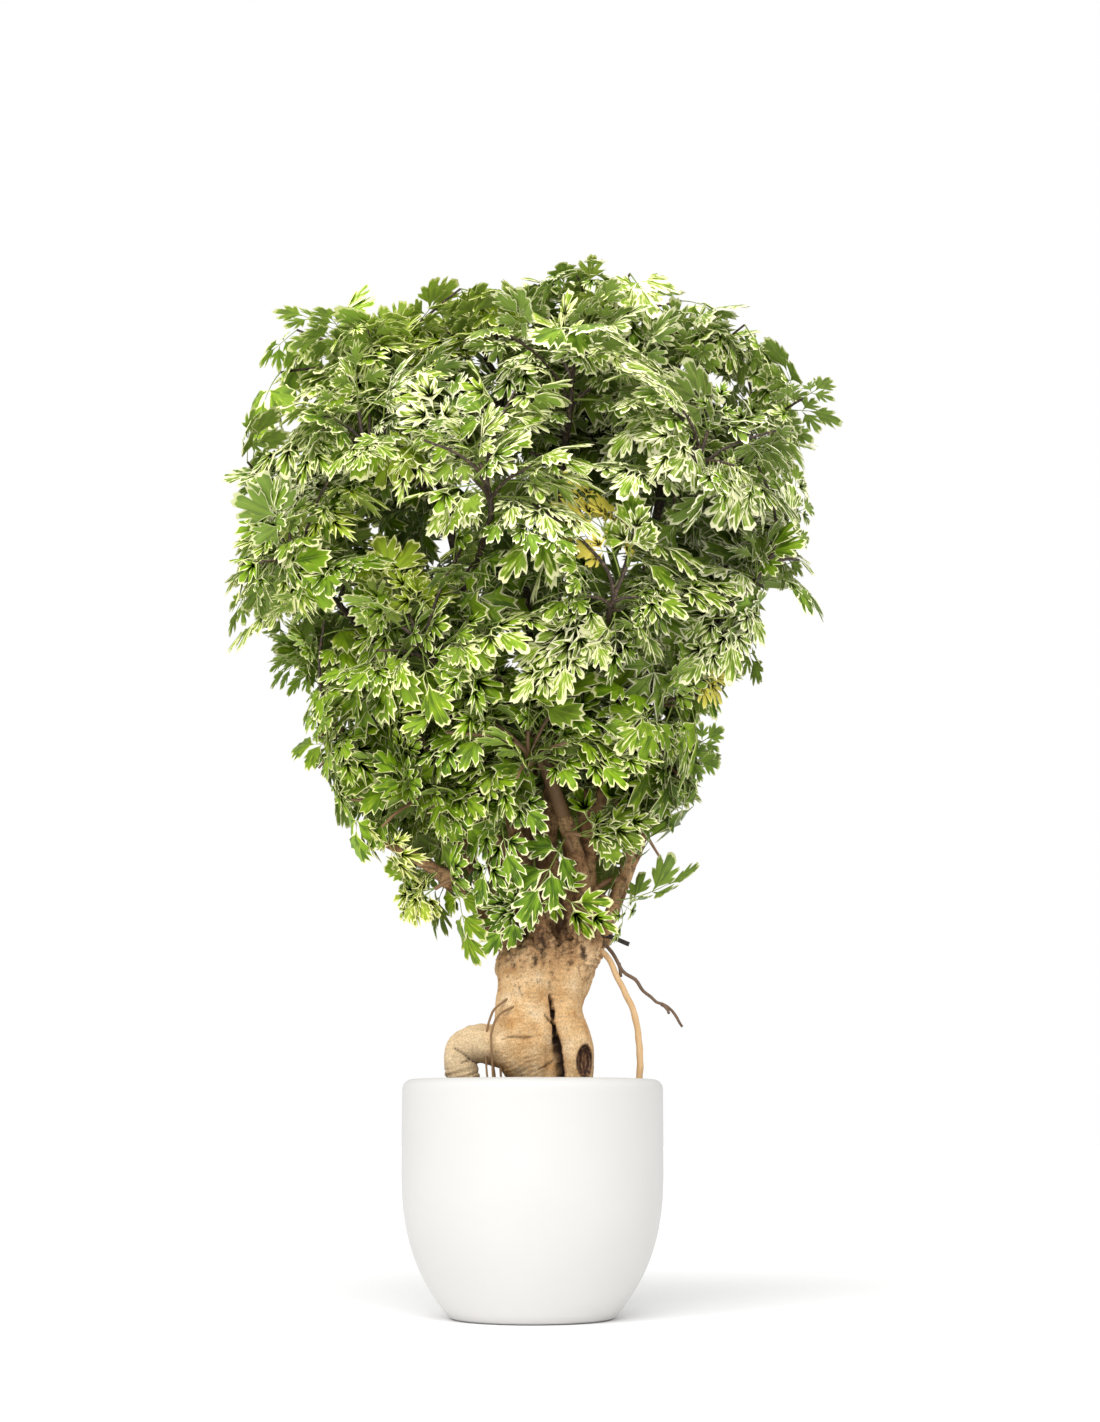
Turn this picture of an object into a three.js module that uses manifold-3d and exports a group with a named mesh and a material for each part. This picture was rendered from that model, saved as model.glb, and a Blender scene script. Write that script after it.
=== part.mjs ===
// A variegated ming aralia grown as a bonsai, standing in a round white pot.
// Millimetres, +Z up, +X to the right and -Y towards the front. The origin is the middle of the
// pot's base.
import * as THREE from 'three';
import { mergeVertices } from 'three/addons/utils/BufferGeometryUtils.js';
import Module from 'manifold-3d';

const wasm = await Module();
wasm.setup();

// Clearance between neighbouring solids
const GAP = 0.3;

// Pot
const POT_RADIUS = 90;
const POT_HEIGHT = 160;
const FOOT_RADIUS = 56;
const FOOT_EDGE = 1.5;
const SWELL_HEIGHT = 105;
const SWELL_POWER = 2.7;
const POT_WALL = 9;
const FLOOR_THICKNESS = 8;
const POT_SEGMENTS = 30;
const SIDE_HEIGHTS = [5, 16, 34, 62, SWELL_HEIGHT];
const INSIDE_HEIGHTS = [SWELL_HEIGHT, 45, FLOOR_THICKNESS];
const LIP_OUTSIDE = 7;
const LIP_INSIDE = POT_WALL - LIP_OUTSIDE;

// Soil
const SOIL_LEVEL = 149;
const SOIL_RELIEF = 1.6;
const SOIL_WAVE = [11, 13];
const SOIL_RING = 58;

// Trunk: two legs that stand side by side and leave a cleft between them, each as rings of
// height, middle and radius from its foot in the soil to the collar where the stems leave
const LEFT_LEG = {
  rings: [[112, 7, 9], [140, 6, 13], [162, 3, 17], [182, -4.5, 23.5], [212, -4, 21], [242, -1, 23.5],
    [255, 1, 15]],
  flatten: 1.14,
};
const RIGHT_LEG = {
  rings: [[112, 31, 8], [140, 31, 11], [162, 29.5, 13], [180, 27.5, 14.5], [208, 21.5, 13.5],
    [242, 26, 18], [257, 28, 12]],
  flatten: 1.24,
};
const LEG_SIDES = 12;
const LEG_RIBS = 3;
const LEG_RIB_HEIGHT = 0.04;
const TORN_HOLLOW = { middle: [41, -12, 172], size: [6, 7, 11] };

// Woody stems as base, bend and end, with the radius at both ends. Each ends at its last fork,
// apart from the low one on the left, which was cut back to a stub
const STEMS = [
  { from: [35, -12, 238], via: [45, -18, 320], to: [-26, -48, 440], thick: 8.5, thin: 3.4 },
  { from: [37, -2, 240], via: [48, -6, 326], to: [10, -20, 500], thick: 7, thin: 3 },
  { from: [12, -14, 240], via: [4, -26, 294], to: [-82, -52, 396], thick: 6, thin: 3 },
  { from: [28, -6, 240], via: [42, -12, 294], to: [-62, -34, 430], thick: 5, thin: 3 },
  {
    from: [-10, -6, 240], via: [-38, -16, 296], to: [-113, -24, 327], thick: 6.5, thin: 3.6, cut: true,
  },
  { from: [39, 4, 240], via: [70, -4, 292], to: [96, -16, 462], thick: 5, thin: 3 },
  { from: [-12, 4, 240], via: [-52, 2, 330], to: [-128, 4, 500], thick: 6, thin: 3 },
  { from: [8, 2, 244], via: [14, -4, 380], to: [22, -6, 640], thick: 7, thin: 3 },
  { from: [-6, 14, 240], via: [-40, 40, 340], to: [-86, 92, 520], thick: 5.5, thin: 3 },
  { from: [10, 18, 240], via: [8, 52, 330], to: [-6, 112, 530], thick: 5.5, thin: 3 },
  { from: [26, 15, 240], via: [56, 44, 330], to: [80, 96, 520], thick: 5.5, thin: 3 },
  { from: [38, 8, 240], via: [86, 12, 330], to: [142, 22, 530], thick: 5.5, thin: 3 },
  { from: [6, -6, 244], via: [-26, -20, 400], to: [-74, -24, 612], thick: 6, thin: 3 },
  { from: [22, 0, 244], via: [60, -12, 400], to: [98, -30, 612], thick: 6, thin: 3 },
];
const STEM_SIDES = 6;
const STEM_STEPS = 5;

// Roots and dead twigs that leave the trunk, as points with the radius at both ends
const KNEE_ROOT = {
  points: [[-2, -4, 178], [-22, -7, 181], [-38, -9, 182], [-47, -9, 172], [-47.5, -8, 158],
    [-46, -6, 138], [-43, -4, 116]],
  thick: 13.4,
  thin: 10,
  sides: 10,
  steps: 9,
};
const AERIAL_ROOT = {
  points: [[34, -8, 250], [48, -10, 248], [61, -11, 225], [71, -11, 201], [74, -10, 172],
    [73, -9, 148], [71, -8, 116]],
  thick: 2.7,
  thin: 2.7,
  sides: 5,
  steps: 8,
};
const LEFT_HAIR_ROOT = {
  points: [[-14, -16, 216], [-27, -18, 206], [-32, -19, 186], [-31, -20, 164], [-30, -20, 140]],
  thick: 0.9,
  thin: 0.9,
  sides: 3,
  steps: 5,
};
const RIGHT_HAIR_ROOT = {
  ...LEFT_HAIR_ROOT,
  points: [[-6, -19, 212], [-22, -23, 204], [-28, -24, 190], [-27, -24, 166], [-25, -24, 140]],
};
const DEAD_TWIG = {
  points: [[34, -4, 248], [47, -6, 256], [64, -8, 234], [82, -9, 215], [94, -9, 209], [103, -9, 196]],
  thick: 1.1,
  thin: 1.1,
  sides: 4,
  steps: 7,
};
const STUB = {
  points: [[34, -2, 252], [48, -4, 259], [67, -5, 253]],
  thick: 1.5,
  thin: 1.5,
  sides: 5,
  steps: 3,
};

// Crown: height with the left and right edge there. It is a little less deep than wide, and above
// its shoulder it slopes in from the front and the back to a blunt ridge
const CROWN = [
  [292, -76, 54], [320, -130, 92], [355, -154, 124], [391, -174, 132], [427, -186, 156],
  [471, -214, 180], [507, -228, 206], [544, -234, 214], [589, -237, 223], [634, -227, 212],
  [680, -208, 196], [718, -186, 180], [738, -134, 134], [750, -30, 46],
];
const CROWN_DEPTH = 0.88;
const SHOULDER_HEIGHT = 650;
const RIDGE_HEIGHT = 735;
const RIDGE_SHARE = 0.55;
const CROWN_SLACK = 1.1;
const FAN_HEART = new THREE.Vector3(4, 0, 326);

// Sprays: one at each place, spread evenly over the crown by the golden angle
const SPRAY_COUNT = 31;
const GOLDEN_ANGLE = Math.PI * (3 - Math.sqrt(5));
const FIRST_ANGLE = 2.94;
const FULL_REACH = 104;
const REACH_SHARE = 0.55;
const BASE_TRIES = 9;
const BASE_STEP = 0.06;
const TWIG_SHARE = 0.4;
const TWIG_STEPS = 3;
const TWIG_RADIUS = 2.2;
const TWIG_TIP_RADIUS = 1.8;
const BRANCH_RADIUS = 3;
const BRANCH_TIP_RADIUS = 2;
const BRANCH_STEPS = 2;
const BRANCH_SIDES = 3;

// Sprays that stand by themselves: the leader at the top, three more along the crown's ridge, the
// leaves that hang in front of the trunk and under the low stem, and the small ones on the right
const LONE_SPRAYS = [
  { tip: [49, -8, 772], reach: 104 },
  { tip: [-128, -14, 722], reach: 100 },
  { tip: [-42, -12, 740], reach: 100 },
  { tip: [132, -10, 728], reach: 100 },
  { tip: [-92, -44, 276], reach: 50 },
  { tip: [-2, -62, 258], reach: 52 },
  { tip: [84, -22, 262], reach: 50 },
];

// Shares of a stem's length where branches can leave it
const FORK_PLACES = [0.4, 0.55, 0.7, 0.85, 1];
const FORK_SINK = 5;
const FORK_CLIMB = 0.3;
const FORK_PULL = 0.45;

// Compound leaves
const LEAF_PLACES = [0.85, 0.5, 0.2];
const LEAF_TILTS = [0.6, 1.15, 1.15];
const LEAF_LENGTH = 82;
const STALK_LENGTH = 17;
const STALK_HALF_WIDTH = 0.9;
const BLADE_THICKNESS = 1;
const FIRST_TURN = 0.7;
const TURN_SPREAD = 3.2;
const TILT_SPREAD = 0.9;
const ROLL_SPREAD = 0.8;
const SIZE_SPREAD = 0.25;
const LEAF_SAG = 0.15;
const FACE_UP = 0.3;
const FACE_OUT = 0.9;
const LEAF_DROOP = 0.42;
const CROSS_ARCH = 0.9;
const TRIES_PER_LEAF = 14;
const FIRST_LOOSENESS = 0.5;
const LAST_SHRINK = 0.15;
const LOW_PAIR = { rib: 0.08, angle: 70, length: 0.43, points: [[26, 0.8], [-22, 0.95]] };
const HIGH_PAIR = { rib: 0.34, angle: 42, length: 0.48, points: [[26, 0.78], [0, 1], [-20, 0.8]] };
const END_LEAFLET = { rib: 0.56, angle: 0, length: 0.44, points: [[36, 0.76]], tip: [[0, 1]] };
const NOTCHES = [0.25, 0.52];
const RIB_HALF_WIDTH = 0.028;

const corkyBark = new THREE.MeshStandardMaterial({ color: 0xb08a5c, roughness: 0.9, metalness: 0 });
const leafGreen = new THREE.MeshStandardMaterial({ color: 0x6f9a3c, roughness: 0.5, metalness: 0 });
const whitePlastic = new THREE.MeshStandardMaterial({ color: 0xf1f0ee, roughness: 0.45, metalness: 0 });
const darkSoil = new THREE.MeshStandardMaterial({ color: 0x33271d, roughness: 1, metalness: 0 });

// The same draws every time
let drawState = 21328;
function draw() {
  drawState = (drawState * 1664525 + 1013904223) % 4294967296;
  return drawState / 4294967296;
}

const vector = (point) => new THREE.Vector3(...point);

// A closed geometry as a solid, its faces turned outwards
function solidOf(geometry) {
  geometry.deleteAttribute('normal');
  geometry.deleteAttribute('uv');
  const merged = mergeVertices(geometry, 1e-3);
  const places = merged.getAttribute('position').array;
  const corners = merged.getIndex().array;
  const at = (i) => new THREE.Vector3().fromArray(places, 3 * i);
  const triangles = [];
  let volume = 0;
  for (let i = 0; i < corners.length; i += 3) {
    const [a, b, c] = corners.slice(i, i + 3);
    if (a === b || b === c || c === a) continue;
    triangles.push([a, b, c]);
    volume += at(a).dot(at(b).cross(at(c)));
  }
  if (volume < 0) triangles.forEach((triangle) => triangle.reverse());
  return new wasm.Manifold(new wasm.Mesh({
    numProp: 3,
    vertProperties: new Float32Array(places),
    triVerts: new Uint32Array(triangles.flat()),
  }));
}

function meshOf(solid, name, material) {
  const { vertProperties, triVerts } = solid.getMesh();
  const geometry = new THREE.BufferGeometry();
  geometry.setAttribute('position', new THREE.BufferAttribute(vertProperties, 3));
  geometry.setIndex(new THREE.BufferAttribute(triVerts, 1));
  geometry.computeVertexNormals();
  const mesh = new THREE.Mesh(geometry, material);
  mesh.name = name;
  return mesh;
}

// Solids joined into one body: its outer shell, with any pocket that the joining sealed filled
function fuse(solids) {
  const shells = solids.reduce((whole, next) => whole.add(next)).decompose();
  return shells.reduce((largest, shell) => (shell.volume() > largest.volume() ? shell : largest));
}

// The frame of each ring along a curve, turned no more than the curve bends
function ringFrames(curve, steps) {
  let normal = new THREE.Vector3(0, -1, 0);
  return Array.from({ length: steps + 1 }, (_, i) => {
    const tangent = curve.getTangent(i / steps);
    normal = normal.clone().addScaledVector(tangent, -normal.dot(tangent)).normalize();
    return { place: curve.getPoint(i / steps), normal, binormal: tangent.clone().cross(normal) };
  });
}

// A rod along a curve: the rings of a cylinder are carried onto the curve, and radiusAt(t, angle)
// gives their radius
function rod(curve, radiusAt, sides, steps) {
  const geometry = new THREE.CylinderGeometry(1, 1, 1, sides, steps);
  const frames = ringFrames(curve, steps);
  const places = geometry.getAttribute('position');
  for (let i = 0; i < places.count; i += 1) {
    const ring = Math.round((places.getY(i) + 0.5) * steps);
    const [x, z] = [places.getX(i), places.getZ(i)];
    const radius = radiusAt(ring / steps, Math.atan2(z, x));
    const place = frames[ring].place.clone()
      .addScaledVector(frames[ring].binormal, x * radius)
      .addScaledVector(frames[ring].normal, z * radius);
    places.setXYZ(i, place.x, place.y, place.z);
  }
  return solidOf(geometry);
}

const taper = (thick, thin) => (t) => thick + (thin - thick) * t;

function bend(from, via, to) {
  return new THREE.QuadraticBezierCurve3(from, via, to);
}

// Pot: a power curve swells the side from the foot up to where it turns upright
function potRadius(height) {
  if (height >= SWELL_HEIGHT) return POT_RADIUS;
  const share = 1 - (1 - height / SWELL_HEIGHT) ** SWELL_POWER;
  return FOOT_RADIUS + (POT_RADIUS - FOOT_RADIUS) * share;
}

function lathe(profile) {
  const points = profile.map(([radius, height]) => new THREE.Vector2(radius, height));
  return new THREE.LatheGeometry(points, POT_SEGMENTS).rotateX(Math.PI / 2);
}

// A rounded edge of the lip as a quarter circle, from its first angle in degrees
function lipEdge(radius, firstAngle, steps) {
  return Array.from({ length: steps + 1 }, (_, i) => {
    const angle = THREE.MathUtils.degToRad(firstAngle + (90 * i) / steps);
    return [
      POT_RADIUS - LIP_OUTSIDE + radius * Math.cos(angle),
      POT_HEIGHT - radius + radius * Math.sin(angle),
    ];
  });
}

function makePot() {
  const outside = SIDE_HEIGHTS.map((height) => [potRadius(height), height]);
  const inside = INSIDE_HEIGHTS.map((height) => [potRadius(height) - POT_WALL, height]);
  return solidOf(lathe([[0, 0], [FOOT_RADIUS - FOOT_EDGE, 0], ...outside,
    ...lipEdge(LIP_OUTSIDE, 0, 3), ...lipEdge(LIP_INSIDE, 90, 2), ...inside, [0, FLOOR_THICKNESS]]));
}

// Leg: its rings joined by one smooth curve, a little deeper than wide
function makeLeg({ rings, flatten }, grow) {
  const top = rings.length - 1;
  const curve = new THREE.CatmullRomCurve3(rings.map(([height, x], i) => {
    const lengthen = (i === top) - (i === 0);
    return new THREE.Vector3(x, 0, height + lengthen * grow);
  }));
  const radius = (t, angle) => {
    const ring = Math.round(t * top);
    return rings[ring][2] * (1 + LEG_RIB_HEIGHT * Math.sin(LEG_RIBS * angle + 2 * ring)) + grow;
  };
  return rod(curve, radius, LEG_SIDES, top).scale([1, flatten, 1]);
}

// Root or dead twig: a smooth, crooked rod through its points, made larger all round by grow
function makeRoot({ points, thick, thin, sides, steps }, grow) {
  const curve = new THREE.CatmullRomCurve3(points.map(vector));
  return rod(curve, taper(thick + grow, thin + grow), sides, steps);
}

// Everything of the trunk that goes down into the soil, made larger all round by grow
function makeFoot(grow) {
  const legs = [LEFT_LEG, RIGHT_LEG].map((leg) => makeLeg(leg, grow));
  const roots = [KNEE_ROOT, AERIAL_ROOT, LEFT_HAIR_ROOT, RIGHT_HAIR_ROOT];
  return fuse([...legs, ...roots.map((root) => makeRoot(root, grow))]);
}

function makeTornHollow() {
  const ball = new THREE.SphereGeometry(1, 8, 6);
  return solidOf(ball.scale(...TORN_HOLLOW.size).translate(...TORN_HOLLOW.middle));
}

function makeSoil() {
  const inside = INSIDE_HEIGHTS.map((height) => (
    [potRadius(height) - POT_WALL - GAP, Math.max(height, FLOOR_THICKNESS + GAP)]
  )).reverse();
  const innerRadius = POT_RADIUS - POT_WALL - GAP;
  const surface = [[innerRadius, SOIL_LEVEL], [SOIL_RING, SOIL_LEVEL]];
  const geometry = lathe([[0, FLOOR_THICKNESS + GAP], ...inside, ...surface, [0, SOIL_LEVEL]]);
  const places = geometry.getAttribute('position');
  for (let i = 0; i < places.count; i += 1) {
    const [x, y, z] = [places.getX(i), places.getY(i), places.getZ(i)];
    if (z > SOIL_LEVEL - 1 && Math.hypot(x, y) < innerRadius - 1) {
      const wave = Math.sin(x / SOIL_WAVE[0]) * Math.cos(y / SOIL_WAVE[1]);
      places.setZ(i, z + SOIL_RELIEF * wave);
    }
  }
  return solidOf(geometry).subtract(makeFoot(GAP));
}

// Crown: its middle, half its width and half its depth at a height
function crownAt(height) {
  const next = Math.max(1, CROWN.findIndex(([z]) => z >= height));
  const [[z0, left0, right0], [z1, left1, right1]] = [CROWN[next - 1], CROWN[next]];
  const share = (height - z0) / (z1 - z0);
  const left = left0 + (left1 - left0) * share;
  const right = right0 + (right1 - right0) * share;
  const slope = (RIDGE_HEIGHT - height) / (RIDGE_HEIGHT - SHOULDER_HEIGHT);
  const half = (right - left) / 2;
  const deep = half * CROWN_DEPTH * Math.min(1, Math.max(RIDGE_SHARE, slope));
  return { middle: (left + right) / 2, half, deep };
}

// Whether a place is inside the crown's outline, or outside it by no more than the slack
function isInCrown({ x, y, z }) {
  const { middle, half } = crownAt(Math.min(Math.max(z, CROWN[0][0]), CROWN[CROWN.length - 1][0]));
  return Math.hypot((x - middle) / half, y / (half * CROWN_DEPTH)) < CROWN_SLACK;
}

// Heights that share the crown's surface out evenly among the sprays
function sprayHeights() {
  const rings = CROWN.map(([z]) => {
    const { half, deep } = crownAt(z);
    return { z, radius: (half + deep) / 2 };
  });
  const areas = rings.slice(1).map((ring, i) => {
    const below = rings[i];
    return (ring.radius + below.radius) * Math.hypot(ring.z - below.z, ring.radius - below.radius);
  });
  const whole = areas.reduce((sum, area) => sum + area);
  return Array.from({ length: SPRAY_COUNT }, (_, i) => {
    let rest = (whole * (i + 0.5)) / SPRAY_COUNT;
    let k = 0;
    while (rest > areas[k]) {
      rest -= areas[k];
      k += 1;
    }
    return rings[k].z + ((rings[k + 1].z - rings[k].z) * rest) / areas[k];
  });
}

// Where each spray should reach and how long it is
function sprayPlaces() {
  const spread = sprayHeights().map((height, i) => {
    const angle = FIRST_ANGLE + i * GOLDEN_ANGLE;
    const { middle, half, deep } = crownAt(height);
    const tip = new THREE.Vector3(
      middle + half * Math.cos(angle),
      deep * Math.sin(angle),
      height,
    );
    const reach = Math.min(FULL_REACH, REACH_SHARE * tip.distanceTo(FAN_HEART));
    return { tip, reach };
  });
  return [...spread, ...LONE_SPRAYS.map(({ tip, reach }) => ({ tip: vector(tip), reach }))];
}

const stemCurves = STEMS.map(({ from, via, to }) => bend(vector(from), vector(via), vector(to)));

// Branch: leaves the nearest stem below the spray and ends square where the young twig begins
function placeBranch(base) {
  let fork = null;
  stemCurves.forEach((stem, number) => {
    for (const t of FORK_PLACES) {
      const along = stem.getTangent(t);
      const start = stem.getPoint(t).addScaledVector(along, -FORK_SINK);
      const far = start.distanceTo(base);
      const cost = far + Math.max(0, start.z - base.z + FORK_CLIMB * far);
      if (!fork || cost < fork.cost) fork = { cost, start, far, along, number, t };
    }
  });
  const via = fork.start.clone().addScaledVector(fork.along, FORK_PULL * fork.far);
  return { fork, branch: bend(fork.start, via, base) };
}

// One try at a spray's wood: the later ones begin nearer to the crown's edge
function trySpray({ tip, reach: fullReach }, attempt) {
  const reach = fullReach * (1 - BASE_STEP * attempt);
  const growth = tip.clone().sub(FAN_HEART).normalize();
  const base = tip.clone().addScaledVector(growth, -reach);
  const { fork, branch } = placeBranch(base);
  const onwards = branch.getTangent(1);
  const start = base.clone().addScaledVector(onwards, GAP);
  const via = start.clone().addScaledVector(onwards, 0.5 * TWIG_SHARE * reach);
  const end = base.clone().addScaledVector(growth, TWIG_SHARE * reach);
  return { reach, growth, fork, branch, twig: bend(start, via, end) };
}

const wrap = (solid) => ({ solid, box: solid.boundingBox() });
const boxesMeet = (a, b) => [0, 1, 2].every((k) => a.min[k] <= b.max[k] && b.min[k] <= a.max[k]);

function isClear({ solid, box }, others) {
  return others.every((other) => {
    if (!boxesMeet(box, other.box)) return true;
    const shared = solid.intersect(other.solid);
    const clear = shared.isEmpty();
    shared.delete();
    return clear;
  });
}

function makeBranch(curve, grow) {
  const radius = taper(BRANCH_RADIUS + grow, BRANCH_TIP_RADIUS + grow);
  return wrap(rod(curve, radius, BRANCH_SIDES, BRANCH_STEPS));
}

function makeTwig(curve, grow) {
  const radius = taper(TWIG_RADIUS + grow, TWIG_TIP_RADIUS + grow);
  return wrap(rod(curve, radius, BRANCH_SIDES, TWIG_STEPS));
}

// Stem: its curve up to the share that is kept
function makeStem({ thick, thin }, number, kept) {
  const { v0, v1 } = stemCurves[number];
  const curve = bend(v0, v0.clone().lerp(v1, kept), stemCurves[number].getPoint(kept));
  return wrap(rod(curve, taper(thick, thick + (thin - thick) * kept), STEM_SIDES, STEM_STEPS));
}

// Wood: a branch and a young twig for every spray, the twigs clear of all other wood
function growWood() {
  const foot = makeFoot(0).subtract(makeTornHollow());
  const fixed = [foot, makeRoot(DEAD_TWIG, 0), makeRoot(STUB, 0)].map(wrap);
  const wholeStems = STEMS.map((stem, number) => makeStem(stem, number, 1));
  const forks = [];
  const twigs = [];
  const sprays = sprayPlaces().map((place) => {
    for (let attempt = 0; attempt < BASE_TRIES; attempt += 1) {
      const spray = trySpray(place, attempt);
      if (isClear(makeTwig(spray.twig, GAP), [...fixed, ...wholeStems, ...forks, ...twigs])
        && isClear(makeBranch(spray.branch, GAP), twigs)) {
        forks.push(makeBranch(spray.branch, 0));
        twigs.push(makeTwig(spray.twig, 0));
        return spray;
      }
    }
    throw new Error(`no room for the spray at ${place.tip.toArray()}`);
  });
  const stems = STEMS.map((stem, number) => {
    const used = sprays.filter(({ fork }) => fork.number === number).map(({ fork }) => fork.t);
    return makeStem(stem, number, stem.cut ? 1 : Math.max(FORK_PLACES[0], ...used));
  });
  return { wood: [...fixed, ...stems, ...forks], twigs, sprays };
}

// Leaf outline: two pairs of leaflets and an end leaflet, each a fan of a few lobes cut to the
// rib, on a narrow stalk
function leafOutline(length, stalk) {
  const fan = ({ rib, angle, length: share }, points) => points.map(([turn, reach]) => {
    const direction = THREE.MathUtils.degToRad(angle + turn);
    return [
      stalk + length * (rib + share * reach * Math.cos(direction)),
      length * share * reach * Math.sin(direction),
    ];
  });
  const [lowNotch, highNotch] = NOTCHES.map((rib) => [stalk + length * rib, length * RIB_HALF_WIDTH]);
  const side = [
    [0, STALK_HALF_WIDTH],
    [stalk, STALK_HALF_WIDTH],
    ...fan(LOW_PAIR, LOW_PAIR.points),
    lowNotch,
    ...fan(HIGH_PAIR, HIGH_PAIR.points),
    highNotch,
    ...fan(END_LEAFLET, END_LEAFLET.points),
  ];
  const otherSide = side.map(([x, y]) => [x, -y]).reverse();
  return [...side, ...fan(END_LEAFLET, END_LEAFLET.tip), ...otherSide]
    .map(([x, y]) => new THREE.Vector2(x, y));
}

// Blade: the outline with an even thickness, arched along the rib and across it
function blade(leaf, thickness) {
  const shape = new THREE.Shape(leafOutline(leaf.length, leaf.stalk));
  const geometry = new THREE.ExtrudeGeometry(shape, { depth: thickness, bevelEnabled: false });
  const places = geometry.getAttribute('position');
  const whole = leaf.length + leaf.stalk;
  for (let i = 0; i < places.count; i += 1) {
    const [x, y] = [places.getX(i), places.getY(i)];
    const arch = -LEAF_DROOP * (x * x) / whole - CROSS_ARCH * (y * y) / leaf.length;
    places.setZ(i, places.getZ(i) - thickness / 2 + arch);
  }
  const across = leaf.face.clone().cross(leaf.along);
  const turned = new THREE.Matrix4().makeBasis(leaf.along, across, leaf.face);
  return solidOf(geometry.applyMatrix4(turned.setPosition(leaf.root)));
}

// One try at a leaf: where it leaves the twig, which way it points and which way it faces
function tryLeaf(spray, number, attempt) {
  const [turnDraw, tiltDraw, rollDraw, sizeDraw] = [draw(), draw(), draw(), draw()];
  const loosen = FIRST_LOOSENESS + attempt / TRIES_PER_LEAF;
  const place = LEAF_PLACES[number];
  const step = Math.floor(place * TWIG_STEPS);
  const root = spray.twig.getPoint(step / TWIG_STEPS)
    .lerp(spray.twig.getPoint((step + 1) / TWIG_STEPS), place * TWIG_STEPS - step);
  const axis = spray.twig.getTangent(place);
  const up = new THREE.Vector3(0, 0, 1);
  const side = axis.clone().cross(up).normalize();
  const rise = side.clone().cross(axis).normalize();
  const turn = number * GOLDEN_ANGLE + FIRST_TURN + (turnDraw - 0.5) * TURN_SPREAD * loosen;
  const tilt = LEAF_TILTS[number] + (tiltDraw - 0.5) * TILT_SPREAD * loosen;
  const along = axis.clone().multiplyScalar(Math.cos(tilt))
    .addScaledVector(side, Math.sin(tilt) * Math.cos(turn))
    .addScaledVector(rise, Math.sin(tilt) * Math.sin(turn))
    .addScaledVector(up, -LEAF_SAG)
    .normalize();
  const face = up.clone().multiplyScalar(FACE_UP)
    .addScaledVector(spray.growth, FACE_OUT)
    .addScaledVector(side, (rollDraw - 0.5) * ROLL_SPREAD);
  face.addScaledVector(along, -face.dot(along)).normalize();
  const shrink = SIZE_SPREAD * sizeDraw + LAST_SHRINK * (attempt / TRIES_PER_LEAF);
  const size = Math.sqrt(spray.reach / FULL_REACH) * (1 - shrink);
  return { root, along, face, length: LEAF_LENGTH * size, stalk: STALK_LENGTH * size };
}

function leafTip({ root, along, face, length, stalk }) {
  const whole = length + stalk;
  return root.clone().addScaledVector(along, whole).addScaledVector(face, -LEAF_DROOP * whole);
}

// Leaves: each at the first try that keeps to the crown and is clear of the wood and of all other
// leaves and twigs. The sprays that stand by themselves needn't keep to the crown
function growLeaves({ wood, twigs, sprays }) {
  const grown = twigs.map((twig) => [twig]);
  sprays.forEach((spray, i) => {
    const others = grown.flatMap((pieces, k) => (k === i ? [] : pieces));
    LEAF_PLACES.forEach((_, number) => {
      let placed = false;
      for (let attempt = 0; attempt < TRIES_PER_LEAF; attempt += 1) {
        const leaf = tryLeaf(spray, number, attempt);
        if (placed || (i < SPRAY_COUNT && !isInCrown(leafTip(leaf)))) continue;
        const room = wrap(blade(leaf, BLADE_THICKNESS + 2 * GAP));
        placed = isClear(room, [...wood, ...others, ...grown[i].slice(1)]);
        room.solid.delete();
        if (placed) grown[i].push(wrap(blade(leaf, BLADE_THICKNESS)));
      }
    });
  });
  return grown.map((pieces) => fuse(pieces.map(({ solid }) => solid)));
}

const grown = growWood();
const bonsai = new THREE.Group();
bonsai.add(meshOf(makePot(), 'pot', whitePlastic));
bonsai.add(meshOf(makeSoil(), 'soil', darkSoil));
bonsai.add(meshOf(fuse(grown.wood.map(({ solid }) => solid)), 'trunk', corkyBark));
growLeaves(grown).forEach((solid, i) => {
  bonsai.add(meshOf(solid, `spray_${String(i + 1).padStart(2, '0')}`, leafGreen));
});

export default bonsai;
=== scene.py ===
import math
import random

import bmesh
import bpy
import numpy as np
from mathutils import Matrix, Vector, noise
from mathutils.kdtree import KDTree


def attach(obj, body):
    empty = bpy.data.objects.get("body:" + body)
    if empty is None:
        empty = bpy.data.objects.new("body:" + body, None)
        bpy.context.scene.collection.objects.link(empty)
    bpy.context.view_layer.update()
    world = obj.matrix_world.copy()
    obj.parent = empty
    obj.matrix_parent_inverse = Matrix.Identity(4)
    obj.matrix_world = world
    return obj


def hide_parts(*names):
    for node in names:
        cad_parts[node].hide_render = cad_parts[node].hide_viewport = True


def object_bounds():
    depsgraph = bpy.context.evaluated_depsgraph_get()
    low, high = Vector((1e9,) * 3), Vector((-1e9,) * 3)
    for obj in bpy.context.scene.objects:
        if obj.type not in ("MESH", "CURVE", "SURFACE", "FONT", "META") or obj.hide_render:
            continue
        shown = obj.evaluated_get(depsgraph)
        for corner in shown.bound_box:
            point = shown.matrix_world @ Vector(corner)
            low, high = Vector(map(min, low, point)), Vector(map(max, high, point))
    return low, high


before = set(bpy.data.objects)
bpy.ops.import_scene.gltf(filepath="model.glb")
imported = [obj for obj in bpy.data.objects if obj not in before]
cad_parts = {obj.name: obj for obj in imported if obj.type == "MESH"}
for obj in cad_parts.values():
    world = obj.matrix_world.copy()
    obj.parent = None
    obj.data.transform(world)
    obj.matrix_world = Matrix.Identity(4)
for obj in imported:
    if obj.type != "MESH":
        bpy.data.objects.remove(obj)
cad_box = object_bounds()

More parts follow.
